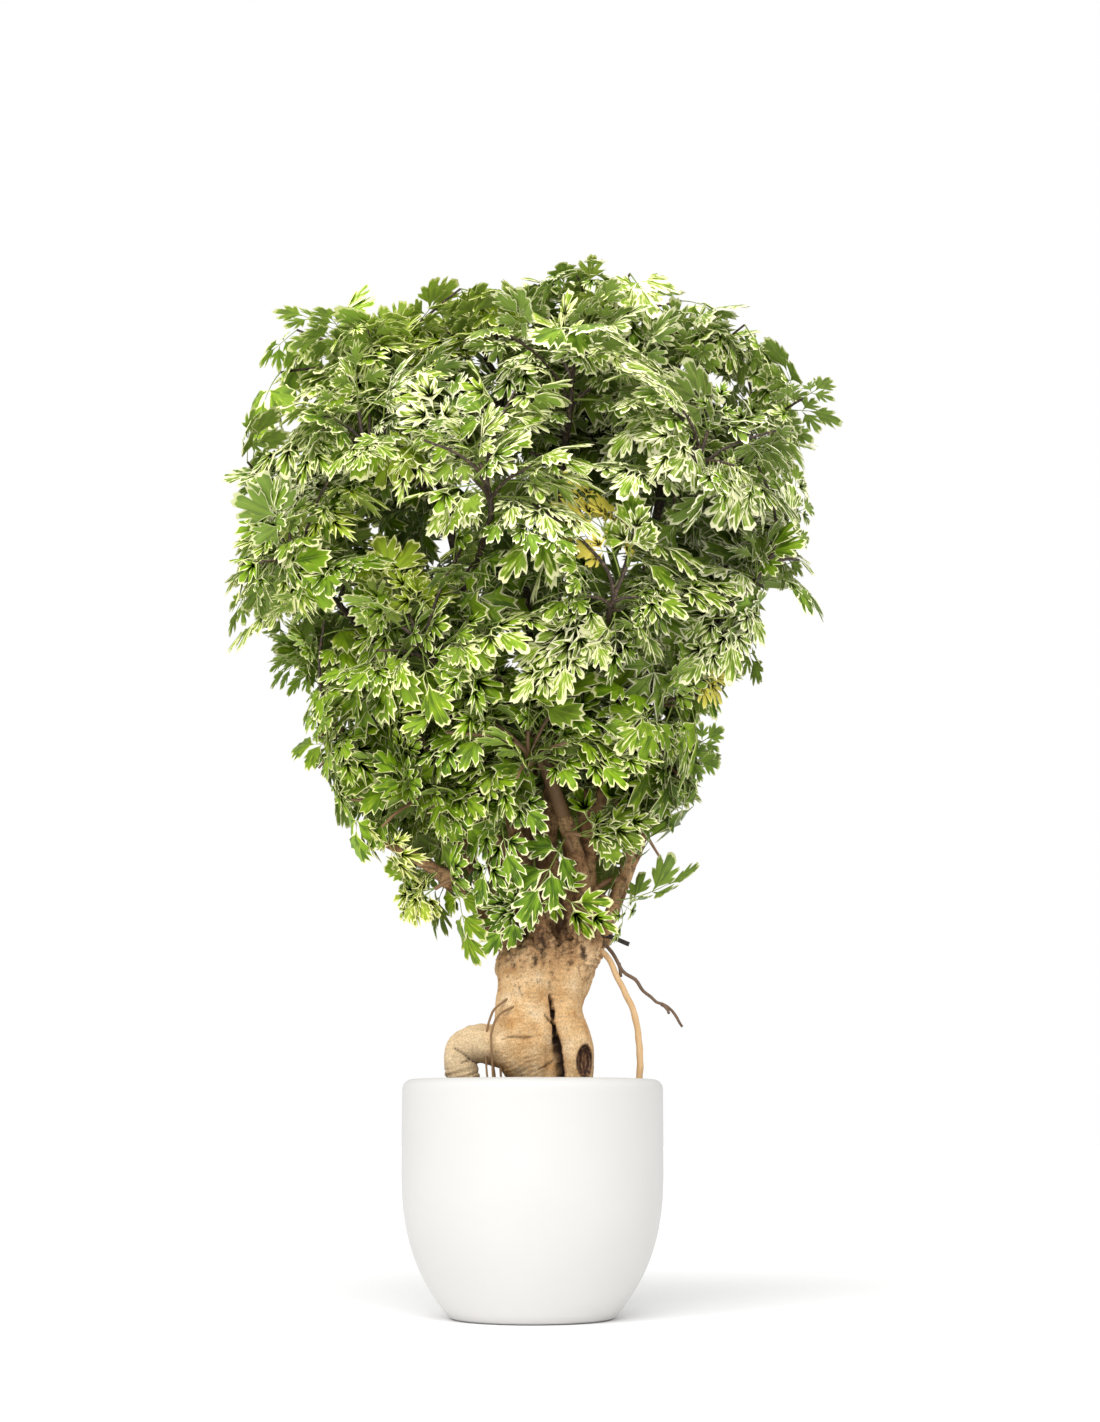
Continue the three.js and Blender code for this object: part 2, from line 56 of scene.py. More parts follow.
# Camera
# It stands 1.6 m in front of the tree, a little below the level of the pot's rim, and looks up a
# little, so the lip shows as a thin line and the soil behind it isn't seen.
CAMERA_PLACE = (0.012, -1.6, 0.13)
CAMERA_PITCH = 10.24
CAMERA_LENS = 57.8
CAMERA_SENSOR = 36

camera = bpy.data.objects.new("camera", bpy.data.cameras.new("camera"))
bpy.context.scene.collection.objects.link(camera)
camera.location = CAMERA_PLACE
camera.rotation_euler = (math.radians(90 + CAMERA_PITCH), 0, 0)
camera.data.lens = CAMERA_LENS
camera.data.sensor_width = CAMERA_SENSOR
bpy.context.scene.camera = camera

# Pot
# A planter moulded in one piece of white polypropylene. Its sides stand upright and curve in to a
# smaller foot, and the rim is turned over in a soft, wide lip.
MM = 0.001
POT_RADIUS = 90
POT_HEIGHT = 160
FOOT_RADIUS = 56
FOOT_EDGE = 1.5
SWELL_HEIGHT = 105
SWELL_POWER = 2.7
POT_WALL = 9
FLOOR_THICKNESS = 8
LIP_OUTSIDE = 7
LIP_INSIDE = 2
POT_STEPS = 128
SIDE_STEPS = 40
INSIDE_STEPS = 20
LIP_STEPS = (10, 6)


def pot_radius(height):
    if height >= SWELL_HEIGHT:
        return POT_RADIUS
    share = 1 - (1 - height / SWELL_HEIGHT) ** SWELL_POWER
    return FOOT_RADIUS + (POT_RADIUS - FOOT_RADIUS) * share


def arc(middle, radius, start, end, steps):
    angles = [math.radians(start + (end - start) * i / steps) for i in range(steps + 1)]
    return [(middle[0] + radius * math.cos(a), middle[1] + radius * math.sin(a)) for a in angles]


def turn_profile(bm, profile, steps):
    points = [bm.verts.new((radius, 0, height)) for radius, height in profile]
    edges = [bm.edges.new(pair) for pair in zip(points, points[1:])]
    bmesh.ops.spin(bm, geom=points + edges, cent=(0, 0, 0), axis=(0, 0, 1), angle=math.tau,
                   steps=steps, use_merge=True)
    bmesh.ops.remove_doubles(bm, verts=bm.verts, dist=0.01)
    bmesh.ops.recalc_face_normals(bm, faces=bm.faces)


def finish_piece(name, bm, *materials):
    """Turns a mesh in millimetres into a piece in metres."""
    bmesh.ops.scale(bm, vec=(MM, MM, MM), verts=bm.verts)
    mesh = bpy.data.meshes.new(name)
    bm.to_mesh(mesh)
    bm.free()
    mesh.shade_smooth()
    for material in materials:
        mesh.materials.append(material)
    piece = bpy.data.objects.new(name, mesh)
    bpy.context.scene.collection.objects.link(piece)
    return piece


def srgb(code):
    """A colour's hex code as linear light."""
    channels = [int(code[i:i + 2], 16) / 255 for i in (0, 2, 4)]
    linear = [c / 12.92 if c <= 0.04045 else ((c + 0.055) / 1.055) ** 2.4 for c in channels]
    return (*linear, 1)


def start_material(name):
    material = bpy.data.materials.new(name)
    material.use_nodes = True
    material.node_tree.nodes.clear()
    return material


def add_node(owner, kind, inputs=(), stops=(), **settings):
    """One node's outputs. Inputs are values or the outputs that feed them; stops colour a ramp."""
    node = owner.node_tree.nodes.new("ShaderNode" + kind)
    for setting, value in settings.items():
        setattr(node, setting, value)
    for socket, value in dict(inputs).items():
        if isinstance(value, bpy.types.NodeSocket):
            owner.node_tree.links.new(value, node.inputs[socket])
        else:
            node.inputs[socket].default_value = value
    if stops:
        points = node.color_ramp.elements
        while len(points) < len(stops):
            points.new(1)
        for point, (place, code) in zip(points, stops):
            point.position = place
            point.color = srgb(code)
    return node.outputs


# Moulded polypropylene: the mould was lightly blasted, so the white is satin, with a grain of
# about half a millimetre that breaks up the highlight and faint cloudiness from handling.
POT_WHITE = "d8d6d4"
POT_CLOUDED = "d3d1ce"
GRAIN = 0.6 * MM
CLOUD = 45 * MM

plastic = start_material("white_polypropylene_satin_moulded")
place = add_node(plastic, "TexCoord")["Object"]
clouds = add_node(plastic, "TexNoise", {"Vector": place, "Scale": 1 / CLOUD, "Detail": 3})["Fac"]
grain = add_node(plastic, "TexNoise", {"Vector": place, "Scale": 1 / GRAIN, "Detail": 1})["Fac"]
white = add_node(plastic, "Mix", {0: clouds, 6: srgb(POT_WHITE), 7: srgb(POT_CLOUDED)},
                 data_type="RGBA")[2]
satin = add_node(plastic, "MapRange", {"Value": clouds, "To Min": 0.38, "To Max": 0.5})[0]
relief = add_node(plastic, "Bump", {"Height": grain, "Strength": 0.12, "Distance": 0.05 * MM})[0]
skin = add_node(plastic, "BsdfPrincipled",
                {"Base Color": white, "Roughness": satin, "IOR": 1.49, "Normal": relief})[0]
add_node(plastic, "OutputMaterial", {"Surface": skin})

pot_mesh = bmesh.new()
side_heights = [FOOT_EDGE + (POT_HEIGHT - LIP_OUTSIDE - FOOT_EDGE) * i / SIDE_STEPS
                for i in range(SIDE_STEPS)]
inside_depth = POT_HEIGHT - LIP_INSIDE - FLOOR_THICKNESS
inside_heights = [POT_HEIGHT - LIP_INSIDE - inside_depth * i / INSIDE_STEPS
                  for i in range(1, INSIDE_STEPS + 1)]
turn_profile(pot_mesh, [
    (0, 0),
    (FOOT_RADIUS - FOOT_EDGE, 0),
    *[(pot_radius(height), height) for height in side_heights],
    *arc((POT_RADIUS - LIP_OUTSIDE, POT_HEIGHT - LIP_OUTSIDE), LIP_OUTSIDE, 0, 90, LIP_STEPS[0]),
    *arc((POT_RADIUS - POT_WALL + LIP_INSIDE, POT_HEIGHT - LIP_INSIDE), LIP_INSIDE, 90, 180,
         LIP_STEPS[1]),
    *[(pot_radius(height) - POT_WALL, height) for height in inside_heights],
    (0, FLOOR_THICKNESS),
], POT_STEPS)
pot = finish_piece("pot_moulded", pot_mesh, plastic)
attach(pot, "root")
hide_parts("pot")

# Soil
# Dark peat with bark crumbs, filled to a finger's breadth below the rim and settled in low lumps.
# It holds the foot of the trunk and the ends of the roots.
SOIL_LEVEL = 149
SOIL_GAP = 0.3
SOIL_BOTTOM = FLOOR_THICKNESS + SOIL_GAP
SOIL_RADIUS = POT_RADIUS - POT_WALL - SOIL_GAP
SOIL_STEPS = 120
SOIL_RINGS = 46
LUMP_HEIGHT = 1.6
ROUGHNESS_HEIGHT = 1.7
CRUMBS = 420
CRUMB_RISE = 0.8
SOIL_SEED = 7

peat = start_material("potting_peat_with_bark_crumbs")
place = add_node(peat, "TexCoord")["Object"]
flecks = add_node(peat, "TexVoronoi", {"Vector": place, "Scale": 1 / (1.8 * MM)})["Color"]
damp = add_node(peat, "TexNoise",
                {"Vector": place, "Scale": 1 / (12 * MM), "Detail": 5, "Roughness": 0.65})["Fac"]
brown = add_node(peat, "ValToRGB", {"Fac": damp}, stops=[
    (0.3, "17100b"), (0.5, "2c2017"), (0.72, "49361f")])[0]
fleck_tone = add_node(peat, "ValToRGB", {"Fac": flecks}, stops=[
    (0.0, "1a120c"), (0.6, "33251a"), (0.93, "5d4630"), (1.0, "a08b6b")])[0]
soil_colour = add_node(peat, "Mix", {0: 0.5, 6: brown, 7: fleck_tone}, data_type="RGBA")[2]
relief = add_node(peat, "Bump", {"Height": damp, "Strength": 0.8, "Distance": 0.8 * MM})[0]
crumbly = add_node(peat, "BsdfPrincipled",
                   {"Base Color": soil_colour, "Roughness": 0.95, "Normal": relief})[0]
add_node(peat, "OutputMaterial", {"Surface": crumbly})


def soil_lump(x, y):
    return LUMP_HEIGHT * math.sin(x / 11) * math.cos(y / 13)


soil_mesh = bmesh.new()
turn_profile(soil_mesh, [
    (0, SOIL_BOTTOM),
    *[(pot_radius(height) - POT_WALL - SOIL_GAP, height)
      for height in (SOIL_BOTTOM, 45, SWELL_HEIGHT)],
    *[(SOIL_RADIUS * (1 - i / SOIL_RINGS), SOIL_LEVEL) for i in range(SOIL_RINGS + 1)],
], SOIL_STEPS)
for vert in soil_mesh.verts:
    if vert.co.z > SOIL_LEVEL - 1:
        rough = noise.fractal(vert.co / 9, 0.8, 2.1, 4)
        inside = min(1, (SOIL_RADIUS - vert.co.xy.length) / 4)
        vert.co.z += inside * (soil_lump(vert.co.x, vert.co.y) + ROUGHNESS_HEIGHT * rough)
soil_draws = random.Random(SOIL_SEED)
for _ in range(CRUMBS):
    angle = soil_draws.uniform(0, math.tau)
    reach = (SOIL_RADIUS - 3) * math.sqrt(soil_draws.random())
    size = soil_draws.uniform(0.7, 2.2)
    crumb = bmesh.ops.create_icosphere(soil_mesh, subdivisions=1, radius=size)["verts"]
    squash = Matrix.Diagonal((soil_draws.uniform(0.7, 1.6), soil_draws.uniform(0.6, 1.1), 0.6, 1))
    turned = Matrix.Rotation(soil_draws.uniform(0, math.pi), 4, "Z")
    x, y = reach * math.cos(angle), reach * math.sin(angle)
    middle = (x, y, SOIL_LEVEL + CRUMB_RISE + soil_lump(x, y))
    bmesh.ops.transform(soil_mesh, verts=crumb,
                        matrix=Matrix.Translation(middle) @ turned @ squash)
soil = finish_piece("soil_peat", soil_mesh, peat)
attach(soil, "root")
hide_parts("soil")

# Trunk
# A swollen trunk that grew together from two legs, with a cleft left between them, a thick root
# that stands out on the left like a knee, and a knotty collar where fourteen stems leave it. The
# trunk, the knee and the lower stems are one piece of corky wood.
UP = Vector((0, 0, 1))
LEFT_LEG = [(112, 7, 9), (140, 6, 13), (162, 3, 17), (182, -4.5, 23.5), (212, -4, 21),
            (242, -1, 23.5), (255, 1, 15)]
LEFT_FLATTEN = 1.14
RIGHT_LEG = [(112, 31, 8), (140, 31, 11), (162, 29.5, 13), (180, 27.5, 14.5), (208, 21.5, 13.5),
             (242, 26, 18), (257, 28, 12)]
RIGHT_FLATTEN = 1.24
KNEE_ROOT = [(-2, -4, 178), (-22, -7, 182), (-41, -9, 184.5), (-49.5, -9, 177), (-47.5, -8, 161),
             (-43, -6, 140), (-40, -4, 116)]
KNEE_RADIUS = 13.4
KNEE_LEG_RADIUS = 10
KNEE_ROOT_SWELL = 3.4
KNEE_STEPS = 30

# Stems as base, bend and end, with the radius at both ends. The fifth was cut back to a stub
STEMS = [
    ((35, -12, 238), (45, -18, 320), (-26, -48, 440), 8.5, 3.4),
    ((37, -2, 240), (48, -6, 326), (10, -20, 500), 7, 3),
    ((12, -14, 240), (4, -26, 294), (-82, -52, 396), 6, 3),
    ((28, -6, 240), (42, -12, 294), (-62, -34, 430), 5, 3),
    ((-10, -6, 240), (-38, -16, 296), (-113, -24, 327), 6.5, 3.6),
    ((39, 4, 240), (70, -4, 292), (96, -16, 462), 5, 3),
    ((-12, 4, 240), (-52, 2, 330), (-128, 4, 500), 6, 3),
    ((8, 2, 244), (14, -4, 380), (22, -6, 640), 7, 3),
    ((-6, 14, 240), (-40, 40, 340), (-86, 92, 520), 5.5, 3),
    ((10, 18, 240), (8, 52, 330), (-6, 112, 530), 5.5, 3),
    ((26, 15, 240), (56, 44, 330), (80, 96, 520), 5.5, 3),
    ((38, 8, 240), (86, 12, 330), (142, 22, 530), 5.5, 3),
    ((6, -6, 244), (-26, -20, 400), (-74, -24, 612), 6, 3),
    ((22, 0, 244), (60, -12, 400), (98, -30, 612), 6, 3),
]
CUT_STEM = 4
CUT_STEM_LUMP = 2.2
# The share of each stem that is one piece with the trunk
LOWER_SHARE = 0.55
WOOD_VOXEL = 1.25
WANDER_SEED = 1
# Lines on the front of the wood, each as places across and up with the half width there, and how
# deep they are cut in: the cleft, three creases, one soft ridge, and two folds under the knee
FRONT_LINES = [
    ([(12.7, 217, 0.4), (13.6, 207, 0.7), (14.2, 198, 0.9), (16.3, 186, 1.7), (20.5, 158, 2.1)],
     7.5),
    ([(-21, 187, 0.5), (-12, 188.6, 0.9), (-6, 187.4, 1.0), (1, 188.8, 0.4)], 0.6),
    ([(8, 203, 0.8), (11, 200, 1.0), (13.5, 197, 0.4)], 0.8),
    ([(4, 166.5, 0.3), (9, 169, 0.9), (14.5, 173, 0.4)], 0.8),
    ([(7.2, 205, 1.2), (7.0, 190, 2.6), (7.6, 168, 1.8)], -1.3),
    ([(-54, 181, 0.4), (-48, 177.5, 0.9), (-41, 171.5, 0.5)], 0.8),
    ([(-49, 170.5, 0.4), (-43, 173, 0.9), (-35, 169, 0.4)], 0.8),
]
LINE_REACH = 6
# The torn hollow low on the right leg, and a small scar beside the cleft
TORN_MIDDLE = Vector((37.5, -15, 172))
TORN_SIZE = Vector((7.5, 9, 11.5))
TORN_INWARDS = Vector((-0.5, 0.87, 0))
TORN_RIM = 0.12
SCAR = Vector((10.5, -22, 214.5))


def smooth_path(points, share):
    """A point of the smooth curve that runs through the points, share from 0 to 1."""
    at = share * (len(points) - 1)
    i = min(int(at), len(points) - 2)
    u = at - i
    a, b, c, d = [Vector(points[min(max(k, 0), len(points) - 1)]) for k in range(i - 1, i + 3)]
    return 0.5 * (2 * b + (c - a) * u + (2 * a - 5 * b + 4 * c - d) * u * u
                  + (3 * b - a - 3 * c + d) * u ** 3)


def bend(start, via, end):
    return Vector(start), Vector(via), Vector(end)


def bend_point(curve, t):
    start, via, end = curve
    return start * (1 - t) ** 2 + via * (2 * t * (1 - t)) + end * t * t


def bend_along(curve, t):
    start, via, end = curve
    return ((via - start) * (1 - t) + (end - via) * t).normalized()


def add_rod(bm, places, radii, sides, bake=None):
    """A closed rod: a grid that is rolled up round the places, and its two ends filled."""
    steps = len(places) - 1
    verts = bmesh.ops.create_grid(bm, x_segments=steps, y_segments=sides, size=1)["verts"]
    normal = Vector((0.1, -1, 0.05))
    rings = []
    for i, middle in enumerate(places):
        along = (places[min(i + 1, steps)] - places[max(i - 1, 0)]).normalized()
        normal = (normal - along * normal.dot(along)).normalized()
        rings.append((middle, normal.copy(), along.cross(normal), radii[i]))
    for vert in verts:
        middle, normal, binormal, radius = rings[round((vert.co.x + 1) / 2 * steps)]
        angle = (vert.co.y + 1) * math.pi
        if bake:
            vert[bake] = (0.5 + 0.3 * vert.co.y, 0.5 + 0.45 * vert.co.x, 0)
        vert.co = middle + radius * (math.cos(angle) * normal + math.sin(angle) * binormal)
    bmesh.ops.remove_doubles(bm, verts=verts, dist=0.002)
    verts = [vert for vert in verts if vert.is_valid]
    ends = dict.fromkeys(edge for vert in verts for edge in vert.link_edges if edge.is_boundary)
    bmesh.ops.holes_fill(bm, edges=list(ends), sides=0)
    return verts


def ramp(low, high, value):
    """0 up to low, 1 from high, and a smooth rise between them."""
    share = min(1, max(0, (value - low) / (high - low)))
    return share * share * (3 - 2 * share)


def add_leg(bm, rings, flatten):
    steps = 4 * (len(rings) - 1)
    path = [smooth_path(rings, i / steps) for i in range(steps + 1)]
    verts = add_rod(bm, [Vector((x, 0, z)) for z, x, _ in path], [r for _, _, r in path], 40)
    bmesh.ops.scale(bm, vec=(1, flatten, 1), verts=verts)


def stem_path(number, kept, wander=2.4):
    """Places along a stem, which wanders a little off its curve as it grows."""
    curve = bend(*STEMS[number][:3])
    steps = max(8, round(kept * 44))
    places = []
    for i in range(steps + 1):
        t = kept * i / steps
        off = noise.noise_vector(Vector((number * 7.1, t * 6, 3)))
        places.append(bend_point(curve, t) + off * wander * math.sin(math.pi * i / steps))
    return places


def stem_radius(number, t, z):
    """A stem tapers, is thicker where it leaves the collar and has low knots."""
    thick, thin = STEMS[number][3:]
    swell = 1 + 0.25 * (1 - ramp(240, 275, z))
    knot = 1 + 0.09 * noise.noise(Vector((number * 3.3, 0, z / 9)))
    lump = CUT_STEM_LUMP * math.exp(-((t - 0.57) / 0.05) ** 2) if number == CUT_STEM else 0
    return (thick + (thin - thick) * t) * swell * knot + lump


def remesh_voxels(bm, size):
    """The closed shells of a mesh joined into one skin."""
    mesh = bpy.data.meshes.new("shells")
    bm.to_mesh(mesh)
    bm.free()
    holder = bpy.data.objects.new("shells", mesh)
    bpy.context.scene.collection.objects.link(holder)
    remesh = holder.modifiers.new("skin", "REMESH")
    remesh.mode = "VOXEL"
    remesh.voxel_size = size
    skin = bpy.data.meshes.new_from_object(
        holder.evaluated_get(bpy.context.evaluated_depsgraph_get()))
    bpy.data.objects.remove(holder)
    joined = bmesh.new()
    joined.from_mesh(skin)
    return joined


def line_weight(x, z, line):
    """How much a line is felt at a place: 1 on it and 0 well past its half width."""
    best = 1e9
    for (ax, az, first), (bx, bz, last) in zip(line, line[1:]):
        along = ((x - ax) * (bx - ax) + (z - az) * (bz - az)) / ((bx - ax) ** 2 + (bz - az) ** 2)
        along = min(1, max(0, along))
        off = math.hypot(x - ax - (bx - ax) * along, z - az - (bz - az) * along)
        best = min(best, off / (first + (last - first) * along))
    return math.exp(-best * best)


def carve_hollow(place):
    """Where a place goes when the torn hollow is carved out, and how far inside it was."""
    inner = Vector([(a - b) / s for a, b, s in zip(place, TORN_MIDDLE, TORN_SIZE)])
    far = inner.length
    if far >= 1:
        return place, max(0, 1 - (far - 1) / TORN_RIM)
    inwards = Vector([a / s for a, s in zip(TORN_INWARDS, TORN_SIZE)])
    a, b, c = inwards.dot(inwards), inner.dot(inwards), far * far - 1
    depth = (math.sqrt(b * b - a * c) - b) / a
    fibres = noise.fractal(Vector((place.x / 1.3, place.y / 2, place.z / 8)), 0.8, 2, 3)
    return place + TORN_INWARDS * max(0, depth + 1.4 * fibres), 1


def shape_bark(bm):
    """The relief of the corky bark, with its dark cracks and painted shade in its dips in one layer,
    and bare wood in another.

    Each kind of relief is a noise of its own grain times its depth in millimetres, and is kept to
    the trunk, to the collar, to the stems or to the knee.
    """
    bm.normal_update()
    crack_and_painted_shade_layer = bm.verts.layers.float.new("crack_and_painted_shade")
    torn_layer = bm.verts.layers.float.new("torn")
    boxes = [(min(p[0] for p in line) - LINE_REACH, max(p[0] for p in line) + LINE_REACH,
              min(p[1] for p in line) - LINE_REACH, max(p[1] for p in line) + LINE_REACH)
             for line, _ in FRONT_LINES]
    for vert in bm.verts:
        x, y, z = place = vert.co.copy()
        collar = ramp(226, 240, z + 3 * noise.noise(place / 9)) * (1 - ramp(256, 286, z))
        stem = ramp(250, 280, z)
        trunk = 1 - stem
        lumps = noise.noise(place / 17) * 1.7 * trunk
        folds = noise.noise(Vector((x / 6, y / 6, z / 40))) * (0.7 * trunk + 0.5 * stem)
        strands = noise.noise(Vector((x / 4, y / 4, z / 20 + 3))) * 2.4 * collar
        knots = noise.fractal(place / 5.5, 0.8, 2.2, 3) * 2.6 * collar
        fine = noise.fractal(place / 2.6, 0.8, 2.0, 2) * (0.13 + 0.3 * collar + 0.12 * stem)
        wavy = z + 3 * noise.noise(Vector((x / 9, y / 9, z / 14)))
        banded = ramp(0, 0.5, noise.noise(place / 13 + Vector((9, 0, 0))))
        rings = 0.22 * math.sin(wavy * 2.1) * banded * trunk * (1 - collar)
        low_left = ramp(188, 178, z) * ramp(10, 2, x) * ramp(-24, -17, x) * (y < 0)
        rings += 0.2 * low_left * math.sin((z - 0.4 * x) * 1.9 + 4 * noise.noise(place / 8))
        knee_leg = ramp(-24, -32, x) * (1 - ramp(164, 170, z))
        rings += 0.7 * knee_leg * math.sin(1.6 * (z - 0.3 * x) + 2.5 * noise.noise(place / 6))
        near, centres = noise.voronoi(place / 5.5)
        pocked = max(ramp(0, 0.3, noise.noise(place / 15 + Vector((0, 4, 0)))),
                     ramp(208, 224, z) * ramp(4, 16, x))
        chosen = ramp(0.45, 0.7, noise.cell(centres[0] * 3.7)) * pocked
        pit = chosen * (1 - ramp(0.08, 0.26, near[0])) * trunk
        push = lumps + folds + strands + knots + fine + rings - 0.9 * pit
        cut = 0
        x += 0.9 * noise.noise(Vector((z / 3.4, 5, 0)))
        if y < 4:
            for (line, depth), (left, right, low, high) in zip(FRONT_LINES, boxes):
                if left < x < right and low < z < high:
                    weight = line_weight(x, z, line)
                    push -= depth * weight * (0.4 if depth > 3 else 1)
                    vert.co.y += depth * weight * (0.8 if depth > 3 else 0)
                    cut = max(cut, weight * min(1, 0.4 + 0.4 * depth)) if depth > 0 else cut
            scar = math.exp(-((place - SCAR).length / 4.2) ** 2)
            push -= 1.6 * scar
        vert.co += vert.normal * push
        carved, torn = carve_hollow(vert.co)
        vert.co = carved
        # The crack layer darkens the cleft, the creases, the pits and the dips of the relief: partly
        # the bark's own dark cracks and partly painted shade
        dip_shade = ramp(0.4, 2.0, -(strands + knots + fine + folds))
        vert[crack_and_painted_shade_layer] = min(1, max(1.15 * cut, 0.85 * pit, 0.9 * dip_shade * collar,
                                       0.35 * knee_leg * ramp(0.2, -0.6, rings)))
        vert[torn_layer] = torn


# Stems, roots and twigs wander off their curves, by the same amount in every run
noise.seed_set(WANDER_SEED)
wood_mesh = bmesh.new()
add_leg(wood_mesh, LEFT_LEG, LEFT_FLATTEN)
add_leg(wood_mesh, RIGHT_LEG, RIGHT_FLATTEN)
knee_places = [smooth_path(KNEE_ROOT, i / KNEE_STEPS) for i in range(KNEE_STEPS + 1)]
knee_radii = [KNEE_RADIUS + (KNEE_LEG_RADIUS - KNEE_RADIUS) * i / KNEE_STEPS
              + KNEE_ROOT_SWELL * ramp(12, 0, i) for i in range(KNEE_STEPS + 1)]
add_rod(wood_mesh, knee_places, knee_radii, 32)
for number in range(len(STEMS)):
    kept = 1 if number == CUT_STEM else LOWER_SHARE
    places = stem_path(number, kept)
    radii = [stem_radius(number, kept * i / (len(places) - 1), p.z) for i, p in enumerate(places)]
    add_rod(wood_mesh, places, radii, 14)
wood_mesh = remesh_voxels(wood_mesh, WOOD_VOXEL)
bmesh.ops.smooth_vert(wood_mesh, verts=wood_mesh.verts, factor=0.5, use_axis_x=True,
                      use_axis_y=True, use_axis_z=True)
shape_bark(wood_mesh)

# Corky bark: light tan and matt with a soft, dry skin. It is greyer on the smooth knee, red brown
# and rough in the collar and on the stems, and nearly black in cracks and pits, partly their own dark
# and partly painted shade.
bark = start_material("corky_aralia_bark_dry")
place = add_node(bark, "TexCoord")["Object"]
across, _, height = add_node(bark, "SeparateXYZ", {0: place})
patches, speckle, pits = [
    add_node(bark, "TexNoise", {
        "Vector": place, "Scale": 1 / (grain * MM), "Detail": detail, "Roughness": rough})["Fac"]
    for grain, detail, rough in ((16, 4, 0.6), (1.3, 3, 0.7), (4.5, 3, 0.7))]
flat = add_node(bark, "Mapping", {"Vector": place, "Scale": (1, 1, 6)})["Vector"]
rings = add_node(bark, "TexNoise", {"Vector": flat, "Scale": 1 / (14 * MM), "Detail": 3})["Fac"]
pores = add_node(bark, "TexVoronoi", {"Vector": place, "Scale": 1 / (3.4 * MM)})["Distance"]

# The stems are browner than the trunk from the collar up and darker still inside the crown, and
# the knee is greyer
bark_colour = add_node(bark, "ValToRGB", {"Fac": patches}, stops=[
    (0.3, "c9985e"), (0.44, "e0b680"), (0.57, "ebc694"), (0.74, "f2d7b0")])[0]
stem_brown = add_node(bark, "ValToRGB", {"Fac": patches}, stops=[
    (0.3, "8a6240"), (0.44, "a87c52"), (0.56, "c49a6c"), (0.7, "dcb88c")])[0]
stem_share, dark_share = [
    add_node(bark, "MapRange", {"Value": height, "From Min": low, "From Max": high})[0]
    for low, high in ((0.224, 0.26), (0.34, 0.43))]
knee_share = add_node(bark, "MapRange", {
    "Value": across, "From Min": -0.022, "From Max": -0.036, "To Max": 0.65})[0]
knee_share = add_node(bark, "MapRange", {
    "Value": height, "From Min": 0.2, "From Max": 0.22, "To Min": knee_share, "To Max": 0})[0]
for share, over in ((stem_share, stem_brown), (dark_share, srgb("4a382b")),
                    (knee_share, srgb("e0caa4"))):
    bark_colour = add_node(bark, "Mix", {0: share, 6: bark_colour, 7: over}, data_type="RGBA")[2]

# Rings, specks, pores and pits darken it, each from one value of its pattern to another
pitted = add_node(bark, "MapRange", {
    "Value": height, "From Min": 0.2, "From Max": 0.25, "To Min": 0.29, "To Max": 0.45})[0]
pit_depth = add_node(bark, "Math", {0: pits, 1: pitted}, operation="SUBTRACT")[0]
tone = 1
for pattern, low, high, darkest, lightest in (
        (rings, 0.4, 0.62, 0.9, 1.03), (speckle, 0.34, 0.58, 0.66, 1.08),
        (pores, 0.06, 0.17, 0.55, 1), (pit_depth, -0.03, 0.06, 0.5, 1)):
    step = add_node(bark, "MapRange", {"Value": pattern, "From Min": low, "From Max": high,
                                       "To Min": darkest, "To Max": lightest})[0]
    tone = add_node(bark, "Math", {0: tone, 1: step}, operation="MULTIPLY")[0]
bark_colour = add_node(bark, "Mix", {0: 1, 6: bark_colour, 7: tone}, data_type="RGBA",
                       blend_type="MULTIPLY")[2]

# The torn hollow shows long splinters of bare wood, and the cracks and dips are nearly black, partly
# their own dark and partly painted shade
long = add_node(bark, "Mapping", {"Vector": place, "Scale": (1, 1, 0.16)})["Vector"]
splinters = add_node(bark, "TexNoise", {"Vector": long, "Scale": 1 / (1.6 * MM), "Detail": 2})["Fac"]
torn_colour = add_node(bark, "ValToRGB", {"Fac": splinters}, stops=[
    (0.35, "2a1810"), (0.52, "5a3a26"), (0.7, "a07850")])[0]
for layer, over in (("torn", torn_colour), ("crack_and_painted_shade", srgb("2f1c10"))):
    share = add_node(bark, "Attribute", attribute_name=layer)["Fac"]
    bark_colour = add_node(bark, "Mix", {0: share, 6: bark_colour, 7: over}, data_type="RGBA")[2]
relief = add_node(bark, "Bump", {"Height": speckle, "Strength": 0.8, "Distance": 0.8 * MM})[0]
relief = add_node(bark, "Bump", {
    "Height": rings, "Strength": 0.3, "Distance": 0.5 * MM, "Normal": relief})[0]
dry = add_node(bark, "BsdfPrincipled",
               {"Base Color": bark_colour, "Roughness": 0.85, "Normal": relief})[0]
add_node(bark, "OutputMaterial", {"Surface": dry})

trunk = finish_piece("trunk_wood", wood_mesh, bark)
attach(trunk, "root")
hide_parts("trunk")

# Roots and dead wood
# A pale aerial root drops from the collar into the pot on the right, hair roots hang over the knee
# and under it on the left, and a dry twig with two short spurs and a black stub are left above the
# aerial root. On the left a green shoot was cut back to a few centimetres.
AERIAL_ROOT = [(34, -8, 250), (48, -10, 248), (61, -11, 225), (71, -11, 201), (74, -10, 172),
               (73, -9, 148), (71, -8, 116)]
HAIR_ROOTS = [
    [(-14, -16, 216), (-27, -18, 206), (-32, -19, 186), (-31, -20, 164), (-30, -20, 140)],
    [(-6, -19, 212), (-22, -23, 204), (-28, -24, 190), (-27, -24, 166), (-25, -24, 140)],
    [(-22, -12, 168), (-21.5, -14, 158), (-19, -15, 146)],
    [(-27, -12, 168), (-26, -11, 159), (-27, -10, 146)],
]
DEAD_TWIG = [(34, -4, 248), (47, -6, 256), (64, -8, 234), (82, -9, 215), (94, -9, 209),
             (103, -9, 196)]
